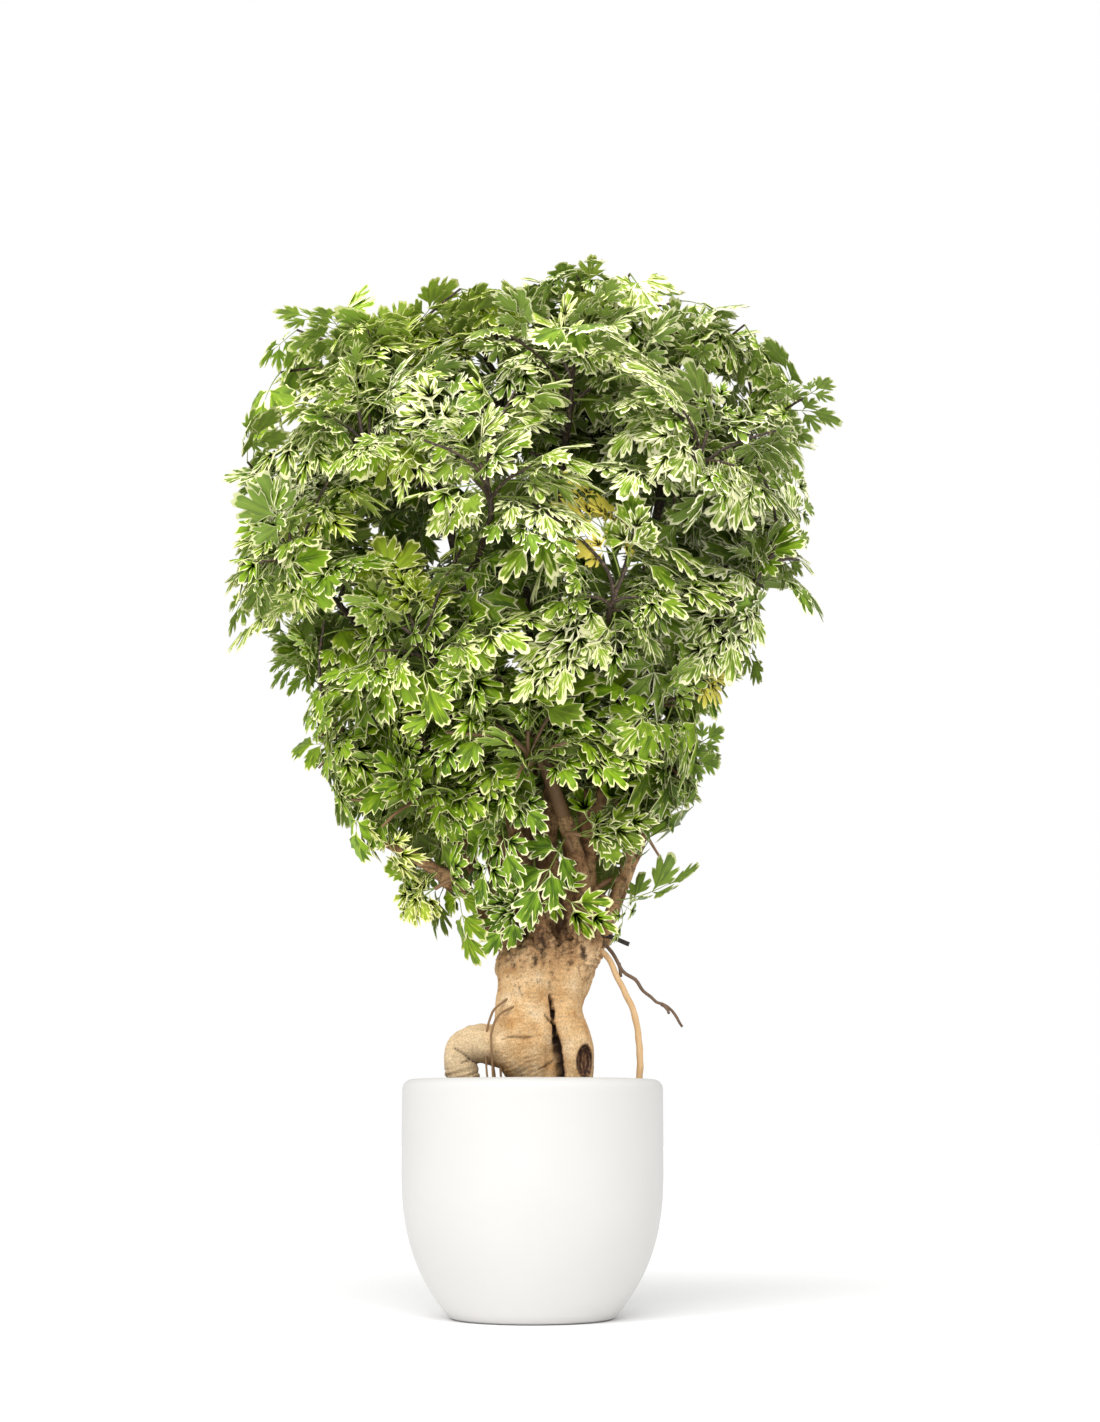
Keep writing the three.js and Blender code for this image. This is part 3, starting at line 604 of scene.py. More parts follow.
TWIG_SPURS = [[(60, -7.5, 240), (61.5, -8, 236), (62, -9, 231)],
              [(90, -9, 211), (92.5, -9.5, 209), (93.5, -10, 205)]]
STUB = [(34, -2, 252), (48, -4, 259), (67, -5, 253)]
GREEN_SHOOT = [(-34, -20, 306), (-44, -24, 296), (-42, -25, 280), (-36, -25, 264), (-34.5, -25, 260)]
SHOOT_ENDS = [[(-36.5, -25, 265), (-39, -26, 263), (-41.5, -26, 261.5)],
              [(-43, -25, 288), (-45, -25, 284), (-44.6, -25, 279)]]
ROOT_STEP = 2.4


def add_root(bm, points, thick, thin, sides, crook):
    """A root or twig along a smooth path, crooked by up to a few millimetres."""
    steps = round(sum((Vector(a) - Vector(b)).length for a, b in zip(points, points[1:])) / ROOT_STEP)
    places = []
    radii = []
    for i in range(steps + 1):
        place = smooth_path(points, i / steps)
        places.append(place + crook * noise.noise_vector(place / 11))
        knot = 1 + 0.12 * noise.noise(place / 5)
        radii.append((thick + (thin - thick) * i / steps) * knot)
    add_rod(bm, places, radii, sides)


def root_material(name, light, dark):
    """Dry, matt root skin with fine wrinkles and streaks that run two to eight mm along the root."""
    peel = start_material(name)
    place = add_node(peel, "TexCoord")["Object"]
    long = add_node(peel, "Mapping", {"Vector": place, "Scale": (1, 1, 0.3)})[0]
    streaks = add_node(peel, "TexNoise", {"Vector": long, "Scale": 1 / (2.4 * MM), "Detail": 4})["Fac"]
    colour = add_node(peel, "Mix", {0: streaks, 6: srgb(dark), 7: srgb(light)},
                      data_type="RGBA")[2]
    relief = add_node(peel, "Bump", {"Height": streaks, "Strength": 0.6, "Distance": 0.3 * MM})[0]
    skin = add_node(peel, "BsdfPrincipled",
                    {"Base Color": colour, "Roughness": 0.8, "Normal": relief})[0]
    add_node(peel, "OutputMaterial", {"Surface": skin})
    return peel


# Each root's paths, thickness at both ends, sides and crookedness, then its skin's light and dark
roots = [
    ("aerial_root", [AERIAL_ROOT], 1.9, 2.6, 14, 1.0, "root_skin_pale_tan", "e6c496", "c09562"),
    ("hair_roots", HAIR_ROOTS, 0.9, 0.7, 7, 0.9, "root_skin_brown", "a5835a", "6d5236"),
    ("dead_twig", [DEAD_TWIG, *TWIG_SPURS], 1.5, 0.9, 8, 2.2, "dead_twig_grey_brown",
     "8b7058", "3f2f25"),
    ("cut_stub", [STUB], 1.8, 1.5, 8, 0.8, "dead_wood_black", "4a3f38", "1b1613"),
    ("green_shoot", [GREEN_SHOOT, *SHOOT_ENDS], 2.2, 1.9, 10, 0.8, "young_shoot_green",
     "6d8a38", "2f4a1b"),
]
for name, paths, thick, thin, sides, crook, finish, light, dark in roots:
    root_mesh = bmesh.new()
    for path in paths:
        add_root(root_mesh, path, thick, thin, sides, crook)
    bmesh.ops.recalc_face_normals(root_mesh, faces=root_mesh.faces)
    root = finish_piece(name, root_mesh, root_material(finish, light, dark))
    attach(root, "root")
    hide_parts("trunk")

# Sprays
# Every spray is a young twig with compound leaves. The solids of the frame hold each spray's twig
# and its three largest leaves, set out by the rules below. Each rule draws its tries in the same
# order, so a spray's own try is the one whose leaf tips are corners of its solid.
CROWN = [
    (292, -76, 54), (320, -130, 92), (355, -154, 124), (391, -174, 132), (427, -186, 156),
    (471, -214, 180), (507, -228, 206), (544, -234, 214), (589, -237, 223), (634, -227, 212),
    (680, -208, 196), (718, -186, 180), (738, -134, 134), (750, -30, 46),
]
CROWN_DEPTH = 0.88
SHOULDER_HEIGHT = 650
RIDGE_HEIGHT = 735
RIDGE_SHARE = 0.55
FAN_HEART = Vector((4, 0, 326))
SPRAY_COUNT = 31
LONE_SPRAYS = [((49, -8, 772), 104), ((-128, -14, 722), 100), ((-42, -12, 740), 100),
               ((132, -10, 728), 100), ((-92, -44, 276), 50), ((-2, -62, 258), 52),
               ((84, -22, 262), 50)]
GOLDEN_ANGLE = math.pi * (3 - math.sqrt(5))
FIRST_ANGLE = 2.94
FULL_REACH = 104
REACH_SHARE = 0.55
BASE_TRIES = 9
BASE_STEP = 0.06
FORK_PLACES = [0.4, 0.55, 0.7, 0.85, 1]
FORK_SINK = 5
FORK_CLIMB = 0.3
FORK_PULL = 0.45
WOOD_GAP = 0.3
TWIG_SHARE = 0.4
TWIG_STEPS = 3
LEAF_PLACES = [0.85, 0.5, 0.2]
LEAF_TILTS = [0.6, 1.15, 1.15]
LEAF_LENGTH = 82
STALK_LENGTH = 17
FIRST_TURN = 0.7
TURN_SPREAD = 3.2
TILT_SPREAD = 0.9
ROLL_SPREAD = 0.8
SIZE_SPREAD = 0.25
LEAF_SAG = 0.15
FACE_UP = 0.3
FACE_OUT = 0.9
LEAF_DROOP = 0.42
CROSS_ARCH = 0.9
TRIES_PER_LEAF = 14
FIRST_LOOSENESS = 0.5
LAST_SHRINK = 0.15
SOLID_HALF_THICKNESS = 0.5
TIP_MATCH = 0.2
FIRST_STATE = 21328


def crown_at(height):
    """The crown's middle, half width and half depth at a height."""
    upper = next((i for i in range(1, len(CROWN)) if CROWN[i][0] >= height), len(CROWN) - 1)
    (low, low_left, low_right), (high, high_left, high_right) = CROWN[upper - 1], CROWN[upper]
    share = (height - low) / (high - low)
    left = low_left + (high_left - low_left) * share
    right = low_right + (high_right - low_right) * share
    slope = (RIDGE_HEIGHT - height) / (RIDGE_HEIGHT - SHOULDER_HEIGHT)
    half = (right - left) / 2
    return (left + right) / 2, half, half * CROWN_DEPTH * min(1, max(RIDGE_SHARE, slope))


def spray_heights():
    """Heights that share the crown's surface out evenly among the sprays."""
    rings = [(z, sum(crown_at(z)[1:]) / 2) for z, _, _ in CROWN]
    areas = [(high[1] + low[1]) * math.hypot(high[0] - low[0], high[1] - low[1])
             for low, high in zip(rings, rings[1:])]
    heights = []
    for i in range(SPRAY_COUNT):
        rest = sum(areas) * (i + 0.5) / SPRAY_COUNT
        k = 0
        while rest > areas[k]:
            rest -= areas[k]
            k += 1
        heights.append(rings[k][0] + (rings[k + 1][0] - rings[k][0]) * rest / areas[k])
    return heights


def spray_places():
    """The tip and the reach of every spray."""
    places = []
    for i, height in enumerate(spray_heights()):
        angle = FIRST_ANGLE + i * GOLDEN_ANGLE
        middle, half, deep = crown_at(height)
        tip = Vector((middle + half * math.cos(angle), deep * math.sin(angle), height))
        places.append((tip, min(FULL_REACH, REACH_SHARE * (tip - FAN_HEART).length)))
    return places + [(Vector(tip), reach) for tip, reach in LONE_SPRAYS]


def place_branch(base):
    """The branch that bears a spray: from the nearest fork below it to the twig's base."""
    forks = []
    for number, stem in enumerate(STEMS):
        curve = bend(*stem[:3])
        for t in FORK_PLACES:
            along = bend_along(curve, t)
            start = bend_point(curve, t) - along * FORK_SINK
            far = (start - base).length
            cost = far + max(0, start.z - base.z + FORK_CLIMB * far)
            forks.append((cost, number, t, start, along, far))
    _, number, t, start, along, far = min(forks, key=lambda fork: fork[0])
    return number, t, bend(start, start + along * FORK_PULL * far, base)


def try_spray(tip, full_reach, attempt):
    """One try at a spray's wood: the later ones begin nearer to the crown's edge."""
    reach = full_reach * (1 - BASE_STEP * attempt)
    growth = (tip - FAN_HEART).normalized()
    base = tip - growth * reach
    number, fork, branch = place_branch(base)
    onwards = bend_along(branch, 1)
    start = base + onwards * WOOD_GAP
    twig = bend(start, start + onwards * (0.5 * TWIG_SHARE * reach),
                base + growth * (TWIG_SHARE * reach))
    return {"tip": tip, "reach": reach, "growth": growth, "stem": number, "fork": fork,
            "branch": branch, "twig": twig}


def point_leaf(axis, growth, turn, tilt, roll, outwards=FACE_OUT, upwards=FACE_UP):
    """The way a leaf points and the way it faces, round a shoot that grows along axis."""
    side = axis.cross(UP).normalized()
    rise = side.cross(axis).normalized()
    along = (axis * math.cos(tilt) + side * math.sin(tilt) * math.cos(turn)
             + rise * math.sin(tilt) * math.sin(turn) - LEAF_SAG * UP).normalized()
    face = upwards * UP + outwards * growth + side * roll
    return along, (face - along * face.dot(along)).normalized()


def try_leaf(spray, number, attempt, draws):
    """One try at a large leaf: its root on the twig, the way it points and faces, and its size."""
    turn_draw, tilt_draw, roll_draw, size_draw = draws
    loosen = FIRST_LOOSENESS + attempt / TRIES_PER_LEAF
    place = LEAF_PLACES[number]
    step = math.floor(place * TWIG_STEPS)
    root = bend_point(spray["twig"], step / TWIG_STEPS).lerp(
        bend_point(spray["twig"], (step + 1) / TWIG_STEPS), place * TWIG_STEPS - step)
    turn = number * GOLDEN_ANGLE + FIRST_TURN + (turn_draw - 0.5) * TURN_SPREAD * loosen
    tilt = LEAF_TILTS[number] + (tilt_draw - 0.5) * TILT_SPREAD * loosen
    along, face = point_leaf(bend_along(spray["twig"], place), spray["growth"], turn, tilt,
                             (roll_draw - 0.5) * ROLL_SPREAD)
    shrink = SIZE_SPREAD * size_draw + LAST_SHRINK * attempt / TRIES_PER_LEAF
    return root, along, face, math.sqrt(spray["reach"] / FULL_REACH) * (1 - shrink)


def leaf_tip(leaf):
    root, along, face, size = leaf
    whole = (LEAF_LENGTH + STALK_LENGTH) * size
    return root + along * whole - face * (LEAF_DROOP * whole - SOLID_HALF_THICKNESS)


def find_spray(name, tip, reach, draws):
    """The spray as its solid has it: of all tries, the one whose leaf tips are corners there."""
    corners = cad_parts[name].data.vertices
    tree = KDTree(len(corners))
    for i, corner in enumerate(corners):
        tree.insert(corner.co / MM, i)
    tree.balance()
    found = []
    for attempt in range(BASE_TRIES):
        spray = try_spray(tip, reach, attempt)
        spray["leaves"] = []
        for number in range(len(LEAF_PLACES)):
            tries = [try_leaf(spray, number, k, draws[number][k]) for k in range(TRIES_PER_LEAF)]
            off, leaf = min(((tree.find(leaf_tip(leaf))[2], leaf) for leaf in tries),
                            key=lambda pair: pair[0])
            if off < TIP_MATCH:
                spray["leaves"].append(leaf)
        found.append(spray)
    return max(found, key=lambda spray: len(spray["leaves"]))


def spray_draws(state):
    """The numbers from 0 to 1 that set out the sprays of the frame."""
    while True:
        state = (state * 1664525 + 1013904223) % 4294967296
        yield state / 4294967296


numbers = spray_draws(FIRST_STATE)
sprays = []
for i, (tip, reach) in enumerate(spray_places()):
    draws = [[[next(numbers) for _ in range(4)] for _ in range(TRIES_PER_LEAF)]
             for _ in LEAF_PLACES]
    sprays.append(find_spray(f"spray_{i + 1:02d}", tip, reach, draws))

# Upper stems and branches
# Above the lower stems the wood is thin, brown black and ringed with leaf scars. Each stem ends at
# its last fork, and a branch leads from there to every spray. A few old sticks fill the middle.
INNER_STICKS = [((0, 8, 236), (-5, 10, 336)), ((19, 10, 236), (24, 14, 336)),
                ((11, 6, 236), (2, 12, 346)), ((29, 4, 236), (22, 8, 330)),
                ((-10, 6, 236), (-24, 8, 330))]
STEM_OVERLAP = 0.03
UPPER_STEPS = 24
UPPER_SHARE = 0.93
BRANCH_RADIUS = 3
BRANCH_TAPER = 1
BRANCH_SHARE = 0.97
LEAF_SCAR = 1.14
STICK_STEPS = 14
STICK_RADIUS = 5.2
STICK_TAPER = 2

branch_mesh = bmesh.new()
for number, stem in enumerate(STEMS):
    used = [spray["fork"] for spray in sprays if spray["stem"] == number]
    kept = max([FORK_PLACES[0], *used])
    if number != CUT_STEM and kept > LOWER_SHARE:
        curve = bend(*stem[:3])
        low = LOWER_SHARE - STEM_OVERLAP
        ts = [low + (kept - low) * i / UPPER_STEPS for i in range(UPPER_STEPS + 1)]
        places = [bend_point(curve, t) for t in ts]
        add_rod(branch_mesh, places,
                [UPPER_SHARE * stem_radius(number, t, p.z) for t, p in zip(ts, places)], 9)
for spray in sprays:
    steps = max(6, round((spray["branch"][2] - spray["branch"][0]).length / 4))
    places = []
    radii = []
    for k in range(steps + 1):
        t = k / steps
        place = bend_point(spray["branch"], t)
        sway = 1.6 * math.sin(math.pi * t)
        places.append(place + sway * noise.noise_vector(place / 17))
        scar = LEAF_SCAR if k % 3 == 1 else 1
        radii.append((BRANCH_RADIUS - BRANCH_TAPER * t) * scar * BRANCH_SHARE)
    add_rod(branch_mesh, places, radii, 8)
for start, end in INNER_STICKS:
    places = [Vector(start).lerp(Vector(end), k / STICK_STEPS) for k in range(STICK_STEPS + 1)]
    places = [place + 3 * noise.noise_vector(place / 23) for place in places]
    radii = [STICK_RADIUS - STICK_TAPER * k / STICK_STEPS for k in range(STICK_STEPS + 1)]
    add_rod(branch_mesh, places, radii, 8)
bmesh.ops.recalc_face_normals(branch_mesh, faces=branch_mesh.faces)

# Young bark: smooth and thin, with paler corky pores a millimetre or two across. It is nearly black
# high up and browner low down, where it meets the old bark.
young_bark = start_material("young_aralia_bark_dark")
place = add_node(young_bark, "TexCoord")["Object"]
pores = add_node(young_bark, "TexNoise",
                 {"Vector": place, "Scale": 1 / (2.2 * MM), "Detail": 3, "Roughness": 0.6})["Fac"]
bark_tone = add_node(young_bark, "ValToRGB", {"Fac": pores}, stops=[
    (0.35, "2a211b"), (0.55, "4a3b2e"), (0.72, "8a7257")])[0]
height = add_node(young_bark, "SeparateXYZ", {0: place})[2]
aged = add_node(young_bark, "MapRange",
                {"Value": height, "From Min": 0.43, "From Max": 0.34, "To Max": 0.9})[0]
bark_tone = add_node(young_bark, "Mix", {0: aged, 6: bark_tone, 7: srgb("94704e")},
                     data_type="RGBA")[2]
relief = add_node(young_bark, "Bump", {"Height": pores, "Strength": 0.5, "Distance": 0.4 * MM})[0]
skin = add_node(young_bark, "BsdfPrincipled",
                {"Base Color": bark_tone, "Roughness": 0.62, "Normal": relief})[0]
add_node(young_bark, "OutputMaterial", {"Surface": skin})

branches = finish_piece("branches_dark", branch_mesh, young_bark)
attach(branches, "root")
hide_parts("trunk")

# Leaves
# A compound leaf is a thin green stalk with three or five broad leaflets, each cut into rounded
# lobes like parsley. On the large leaves each of the five is again a group of three. The leaf is
# modelled once in each of a few forms, arched as it hangs, and every leaf is one of these forms.

# Leaflets by place on the rib, turn and length, and the side of the rib that they are on
LOW_PAIR = (0.08, 70, 0.43)
HIGH_PAIR = (0.34, 42, 0.48)
FIVE_LEAFLETS = [((0.56, 0, 0.44), 1), (LOW_PAIR, 1), (LOW_PAIR, -1), (HIGH_PAIR, 1), (HIGH_PAIR, -1)]
PALM_LEAFLETS = [((0.26, 0, 0.6), 1), ((0.22, 50, 0.52), 1), ((0.22, 50, 0.52), -1),
                 ((0.12, 102, 0.4), 1), ((0.12, 102, 0.4), -1)]
THREE_LEAFLETS = [((0.3, 0, 0.54), 1), ((0.15, 62, 0.48), 1), ((0.15, 62, 0.48), -1)]
# A group of three leaflets on a large leaf: its place on the side rib, turn and length of each
GROUP = [(0.42, 0, 0.62), (0.28, 56, 0.54), (0.3, -54, 0.54)]
# Half the outline of each kind of leaflet, from its root round to its tip. The leaves inside the
# crown, which hardly show, have a plainer one
BROAD_LEAFLET = [(0, 0), (0.2, 0.06), (0.42, 0.38), (0.54, 0.46), (0.54, 0.31), (0.72, 0.42),
                 (0.82, 0.36), (0.68, 0.15), (0.9, 0.18), (1.0, 0.09), (0.98, 0)]
ROUND_LEAFLET = [(0, 0), (0.14, 0.06), (0.3, 0.28), (0.42, 0.46), (0.52, 0.4), (0.68, 0.48),
                 (0.68, 0.3), (0.84, 0.34), (0.84, 0.18), (1.0, 0.1), (0.94, 0)]
CUT_LEAFLET = [(0, 0), (0.23, 0.04), (0.4, 0.3), (0.52, 0.44), (0.5, 0.24), (0.72, 0.37),
               (0.83, 0.32), (0.56, 0.08), (0.88, 0.16), (1.0, 0.07), (0.96, 0)]
FINE_LEAFLET = [(0, 0), (0.25, 0.03), (0.36, 0.13), (0.5, 0.35), (0.5, 0.2), (0.74, 0.34),
                (0.5, 0.07), (0.86, 0.18), (0.78, 0.08), (1.0, 0.05), (0.84, 0)]
INNER_LEAFLET = [(0, 0), (0.33, 0.16), (0.55, 0.44), (0.54, 0.18), (0.97, 0.14), (0.84, 0)]
LEAFLET_HEART = Vector((0.3, 0))
MARGIN_DEPTH = 0.085
FAN_DOME = 0.16
MIDRIB_FOLD = 0.13
BLADE_WAVE = 0.05
BLADE_THICKNESS = 0.026
# Each leaf form: the outline of its leaflets, or of a group's three, their places, and its droop
LARGE_LEAVES = [([BROAD_LEAFLET, CUT_LEAFLET, CUT_LEAFLET], FIVE_LEAFLETS, LEAF_DROOP)] * 3
SMALL_LEAVES = [([CUT_LEAFLET], THREE_LEAFLETS, 0.05), ([CUT_LEAFLET], PALM_LEAFLETS, 0.15),
                ([BROAD_LEAFLET], THREE_LEAFLETS, 0.25), ([FINE_LEAFLET], PALM_LEAFLETS, 0.35),
                ([FINE_LEAFLET], THREE_LEAFLETS, 0.4), ([ROUND_LEAFLET], THREE_LEAFLETS, 0.5),
                ([CUT_LEAFLET], THREE_LEAFLETS, 0.2), ([BROAD_LEAFLET], PALM_LEAFLETS, 0.3)]
LONE_LEAVES = [([outline], FIVE_LEAFLETS, LEAF_DROOP) for outline in (BROAD_LEAFLET, CUT_LEAFLET)]
INNER_LEAVES = [([INNER_LEAFLET], PALM_LEAFLETS, droop) for droop in (0.1, 0.3, 0.5)]
UNDERSIDE = 1
WOOD = 2
VEIN_SPREAD = 0.28
# The leaves' map is a square of cells, with one look each, one for each tint and one for the wood
BAKE_CELLS = 4
OUTER_LOOKS = 8
INNER_LOOKS = 4
LOOKS = OUTER_LOOKS + INNER_LOOKS
TINT_CELLS = 3
BAKE_EDGE = 0.04
FORM_SEED = 300


def add_leaf_face(bm, blade, bake, ring, wave, upper):
    """One face of a leaflet that is one unit long, with its root at the origin, along +X."""
    rows = [0, 1, 2] if upper else [0, 2]
    steps = len(ring) - 1
    verts = bmesh.ops.create_grid(bm, x_segments=steps, y_segments=len(rows) - 1, size=1)["verts"]
    for vert in verts:
        place, pattern = ring[round((vert.co.x + 1) / 2 * steps)]
        row = rows[round((vert.co.y + 1) / 2 * (len(rows) - 1))]
        inset = (1, MARGIN_DEPTH / (place - LEAFLET_HEART).length, 0)[row]
        x, y = place.lerp(LEAFLET_HEART, inset)
        height = MIDRIB_FOLD * abs(y) - FAN_DOME * (x * x + y * y)
        height += BLADE_WAVE * math.sin(7 * math.atan2(y, x + 0.01) + wave) * (x * x + y * y)
        vert.co = (x, y, height + (BLADE_THICKNESS if upper and row < 2 else 0))
        x, y = pattern.lerp(LEAFLET_HEART, inset)
        vert[blade] = (x, y, 0 if row == 2 else 1 if upper else 0.5 / MARGIN_DEPTH)
        vert[bake] = ((0.25 if upper else 0.75) + 0.41 * y, BAKE_EDGE + 0.84 * x, 0)
    return verts


def add_leaflet(bm, blade, bake, outline, place, draws):
    """A leaflet as a closed blade, thinnest at its edge: its root, turn and length on the leaf."""
    root, turn, length = place
    step = (len(BROAD_LEAFLET) - 1) // (len(outline) - 1)
    sides = [[(Vector((x, side * y)), Vector((a, side * b)))
              for (x, y), (a, b) in zip(outline, BROAD_LEAFLET[::step])] for side in (1, -1)]
    ring = sides[0] + sides[1][-2::-1]
    for k in range(1, len(ring) - 1):
        point, pattern = ring[k]
        ring[k] = (LEAFLET_HEART.lerp(point, draws.uniform(0.92, 1.07)), pattern)
    wave = draws.uniform(0, math.tau)
    upper = add_leaf_face(bm, blade, bake, ring, wave, True)
    under = add_leaf_face(bm, blade, bake, ring, wave, False)
    under_faces = list(dict.fromkeys(face for vert in under for face in vert.link_faces))
    bmesh.ops.reverse_faces(bm, faces=under_faces)
    for face in under_faces:
        face.material_index = UNDERSIDE
    bmesh.ops.remove_doubles(bm, verts=upper + under, dist=1e-4)
    verts = [vert for vert in upper + under if vert.is_valid]
    for edge in {edge for vert in verts for edge in vert.link_edges}:
        edge.smooth = not all(vert[blade][2] == 0 for vert in edge.verts)
    bmesh.ops.transform(
        bm, verts=verts,
        matrix=Matrix.Translation(root) @ Matrix.Rotation(turn, 4, "Z")
        @ Matrix.Rotation(math.radians(draws.uniform(-14, 12)), 4, "Y")
        @ Matrix.Rotation(math.radians(draws.uniform(-22, 22)), 4, "X")
        @ Matrix.Diagonal((length, length, length, 1)))


def add_stalk(bm, blade, bake, start, end, thick, thin, sides, steps):
    places = [start.lerp(end, i / steps) for i in range(steps + 1)]
    radii = [thick + (thin - thick) * i / steps for i in range(steps + 1)]
    for vert in add_rod(bm, places, radii, sides, bake):
        across, up_stalk, _ = vert[bake]
        vert[blade] = (-1, 0, 1)
        vert[bake] = (across, 0.93 + 0.05 * up_stalk, 0)


def make_leaf_form(outlines, leaflets, droop, draws):
    """One form of the compound leaf and its droop, in millimetres, its stalk's foot at the origin."""
    bm = bmesh.new()
    blade, bake = [bm.verts.layers.float_vector.new(layer) for layer in ("blade", "bake")]
    for (rib, angle, share), side in leaflets:
        root = Vector((STALK_LENGTH + LEAF_LENGTH * rib, 0, 0))
        turn = math.radians(side * angle + draws.uniform(-7, 7))
        length = share * LEAF_LENGTH * draws.uniform(0.92, 1.06)
        along = Vector((math.cos(turn), math.sin(turn), 0))
        if len(outlines) == 1:
            add_leaflet(bm, blade, bake, outlines[0], (root, turn, length), draws)
            continue
        add_stalk(bm, blade, bake, root, root + along * (GROUP[0][0] + 0.1) * length,
                  0.55, 0.35, 4, 2)
        for outline, (far, spread, part) in zip(outlines, GROUP):
            spread = math.radians(spread + draws.uniform(-8, 8))
            place = (root + along * far * length, turn + spread, part * length)
            add_leaflet(bm, blade, bake, outline, place, draws)
    stalk_end = STALK_LENGTH + LEAF_LENGTH * (leaflets[0][0][0] + 0.05)
    add_stalk(bm, blade, bake, Vector(), Vector((stalk_end, 0, 0)), 0.95, 0.4, 4, 5)
    for vert in bm.verts:
        x, y, _ = vert.co
        vert.co.z -= droop * x * x / (LEAF_LENGTH + STALK_LENGTH)
        vert.co.z -= CROSS_ARCH * y * y / LEAF_LENGTH
    bmesh.ops.recalc_face_normals(bm, faces=bm.faces)
    form = bpy.data.meshes.new("leaf_form")
    bm.to_mesh(form)
    bm.free()
    return form, droop


form_draws = random.Random(FORM_SEED)
large_forms, small_forms, lone_forms, inner_forms = [
    [make_leaf_form(*kind, form_draws) for kind in kinds]
    for kinds in (LARGE_LEAVES, SMALL_LEAVES, LONE_LEAVES, INNER_LEAVES)]


def leaf_material(name, paleness, gloss):
    """Both faces of a leaf have one pattern, and the lower face is paler and more matt."""
    leaf = start_material(name)
    blade = add_node(leaf, "Attribute", attribute_name="blade")["Vector"]
    out, aside, rim = add_node(leaf, "SeparateXYZ", {0: blade})
    look = add_node(leaf, "Attribute", attribute_name="look")["Vector"]
    cream, fresh, yellow = add_node(leaf, "SeparateXYZ", {0: look})
    seed, tone_and_painted_light = [add_node(leaf, "Attribute", attribute_name=own)["Fac"]
                   for own in ("seed", "tone_and_painted_light")]
    spread = add_node(leaf, "Math", {0: aside, 1: out}, operation="ARCTAN2")[0]
    lobe = add_node(leaf, "Math", {0: spread, 1: 1 / VEIN_SPREAD, 2: 0.5},
                    operation="MULTIPLY_ADD")[0]
    spot = add_node(leaf, "CombineXYZ", {0: lobe, 1: out})[0]
    streaks, blotches = [
        add_node(leaf, "TexNoise", {
            "Vector": add_node(leaf, "Mapping", {"Vector": spot, "Scale": repeats})[0],
            "W": seed, "Scale": 1, "Detail": detail}, noise_dimensions="4D")["Fac"]
        for repeats, detail in (((2.6, 3, 0), 2), ((0.8, 1.9, 0), 1))]

    # The margin's width follows how creamy the leaf is, and wanders with the streaks
    margin = add_node(leaf, "MapRange", {"Value": cream, "To Min": 0.38, "To Max": 0.9})[0]
    wander = add_node(leaf, "MapRange", {
        "Value": streaks, "From Min": 0.3, "From Max": 0.7, "To Min": -0.34, "To Max": 0.34})[0]
    margin = add_node(leaf, "Math", {0: margin, 1: wander}, operation="ADD")[0]
    inside = add_node(leaf, "Math", {0: rim, 1: margin}, operation="SUBTRACT")[0]
    to_vein = add_node(leaf, "Math", {0: lobe, 1: 0.5}, operation="PINGPONG")[0]
    blotched, streaked, vein, halo_share, cream_share, on_stalk = [
        add_node(leaf, "MapRange", {
            "Value": pattern, "From Min": low, "From Max": high, "To Max": most})[0]
        for pattern, low, high, most in (
            (blotches, 0.38, 0.56, 1), (streaks, 0.58, 0.66, 0.8), (to_vein, 0.43, 0.49, 0.28),
            (inside, 0.22, 0, 1), (inside, 0.08, -0.06, 1), (out, -0.4, -0.6, 1))]

    # Each tone as it is on greyish leaves and on fresh ones
    dark, middle, light, halo, cream_tone = [
        add_node(leaf, "Mix", {0: fresh, 6: srgb(grey), 7: srgb(bright)}, data_type="RGBA")[2]
        for grey, bright in (("415c16", "4c720a"), ("70902e", "86ae12"), ("aaba5e", "bcd232"),
                             ("cad882", "d2e450"), ("fffbdc", "fcfcb8"))]
    # The leaf's tone is multiplied in: a painted light on the sprays at the top of the crown, and a
    # painted shade on the leaves inside it
    colour = dark
    for share, over, blend in (
            (blotched, middle, "MIX"), (streaked, light, "MIX"), (vein, halo, "MIX"),
            (halo_share, halo, "MIX"), (cream_share, cream_tone, "MIX"),
            (yellow, srgb("f2dc5a"), "MIX"), (paleness, srgb("a8bc74"), "MIX"),
            (1, tone_and_painted_light, "MULTIPLY"), (on_stalk, srgb("8c9e4c"), "MIX")):
        colour = add_node(leaf, "Mix", {0: share, 6: colour, 7: over}, data_type="RGBA",
                          blend_type=blend)[2]
    relief = add_node(leaf, "Bump", {"Height": vein, "Strength": 0.4, "Distance": 0.3 * MM},
                      invert=True)[0]
    relief = add_node(leaf, "Bump", {
        "Height": blotches, "Strength": 0.3, "Distance": 0.4 * MM, "Normal": relief})[0]
    skin = add_node(leaf, "BsdfPrincipled", {
        "Base Color": colour, "Roughness": gloss, "IOR": 1.4, "Specular IOR Level": 0.28,
        "Normal": relief})[0]
    add_node(leaf, "OutputMaterial", {"Surface": skin})
    return leaf


# Variegated leaf: a cream margin, widest at the lobes' tips, round a green that runs from dark to
# grey green in soft streaks. The upper face has a waxy gloss, the lower face is paler and matt.
upper_leaf = leaf_material("variegated_aralia_leaf_waxy", 0, 0.42)
lower_leaf = leaf_material("variegated_aralia_leaf_underside_matt", 0.3, 0.65)

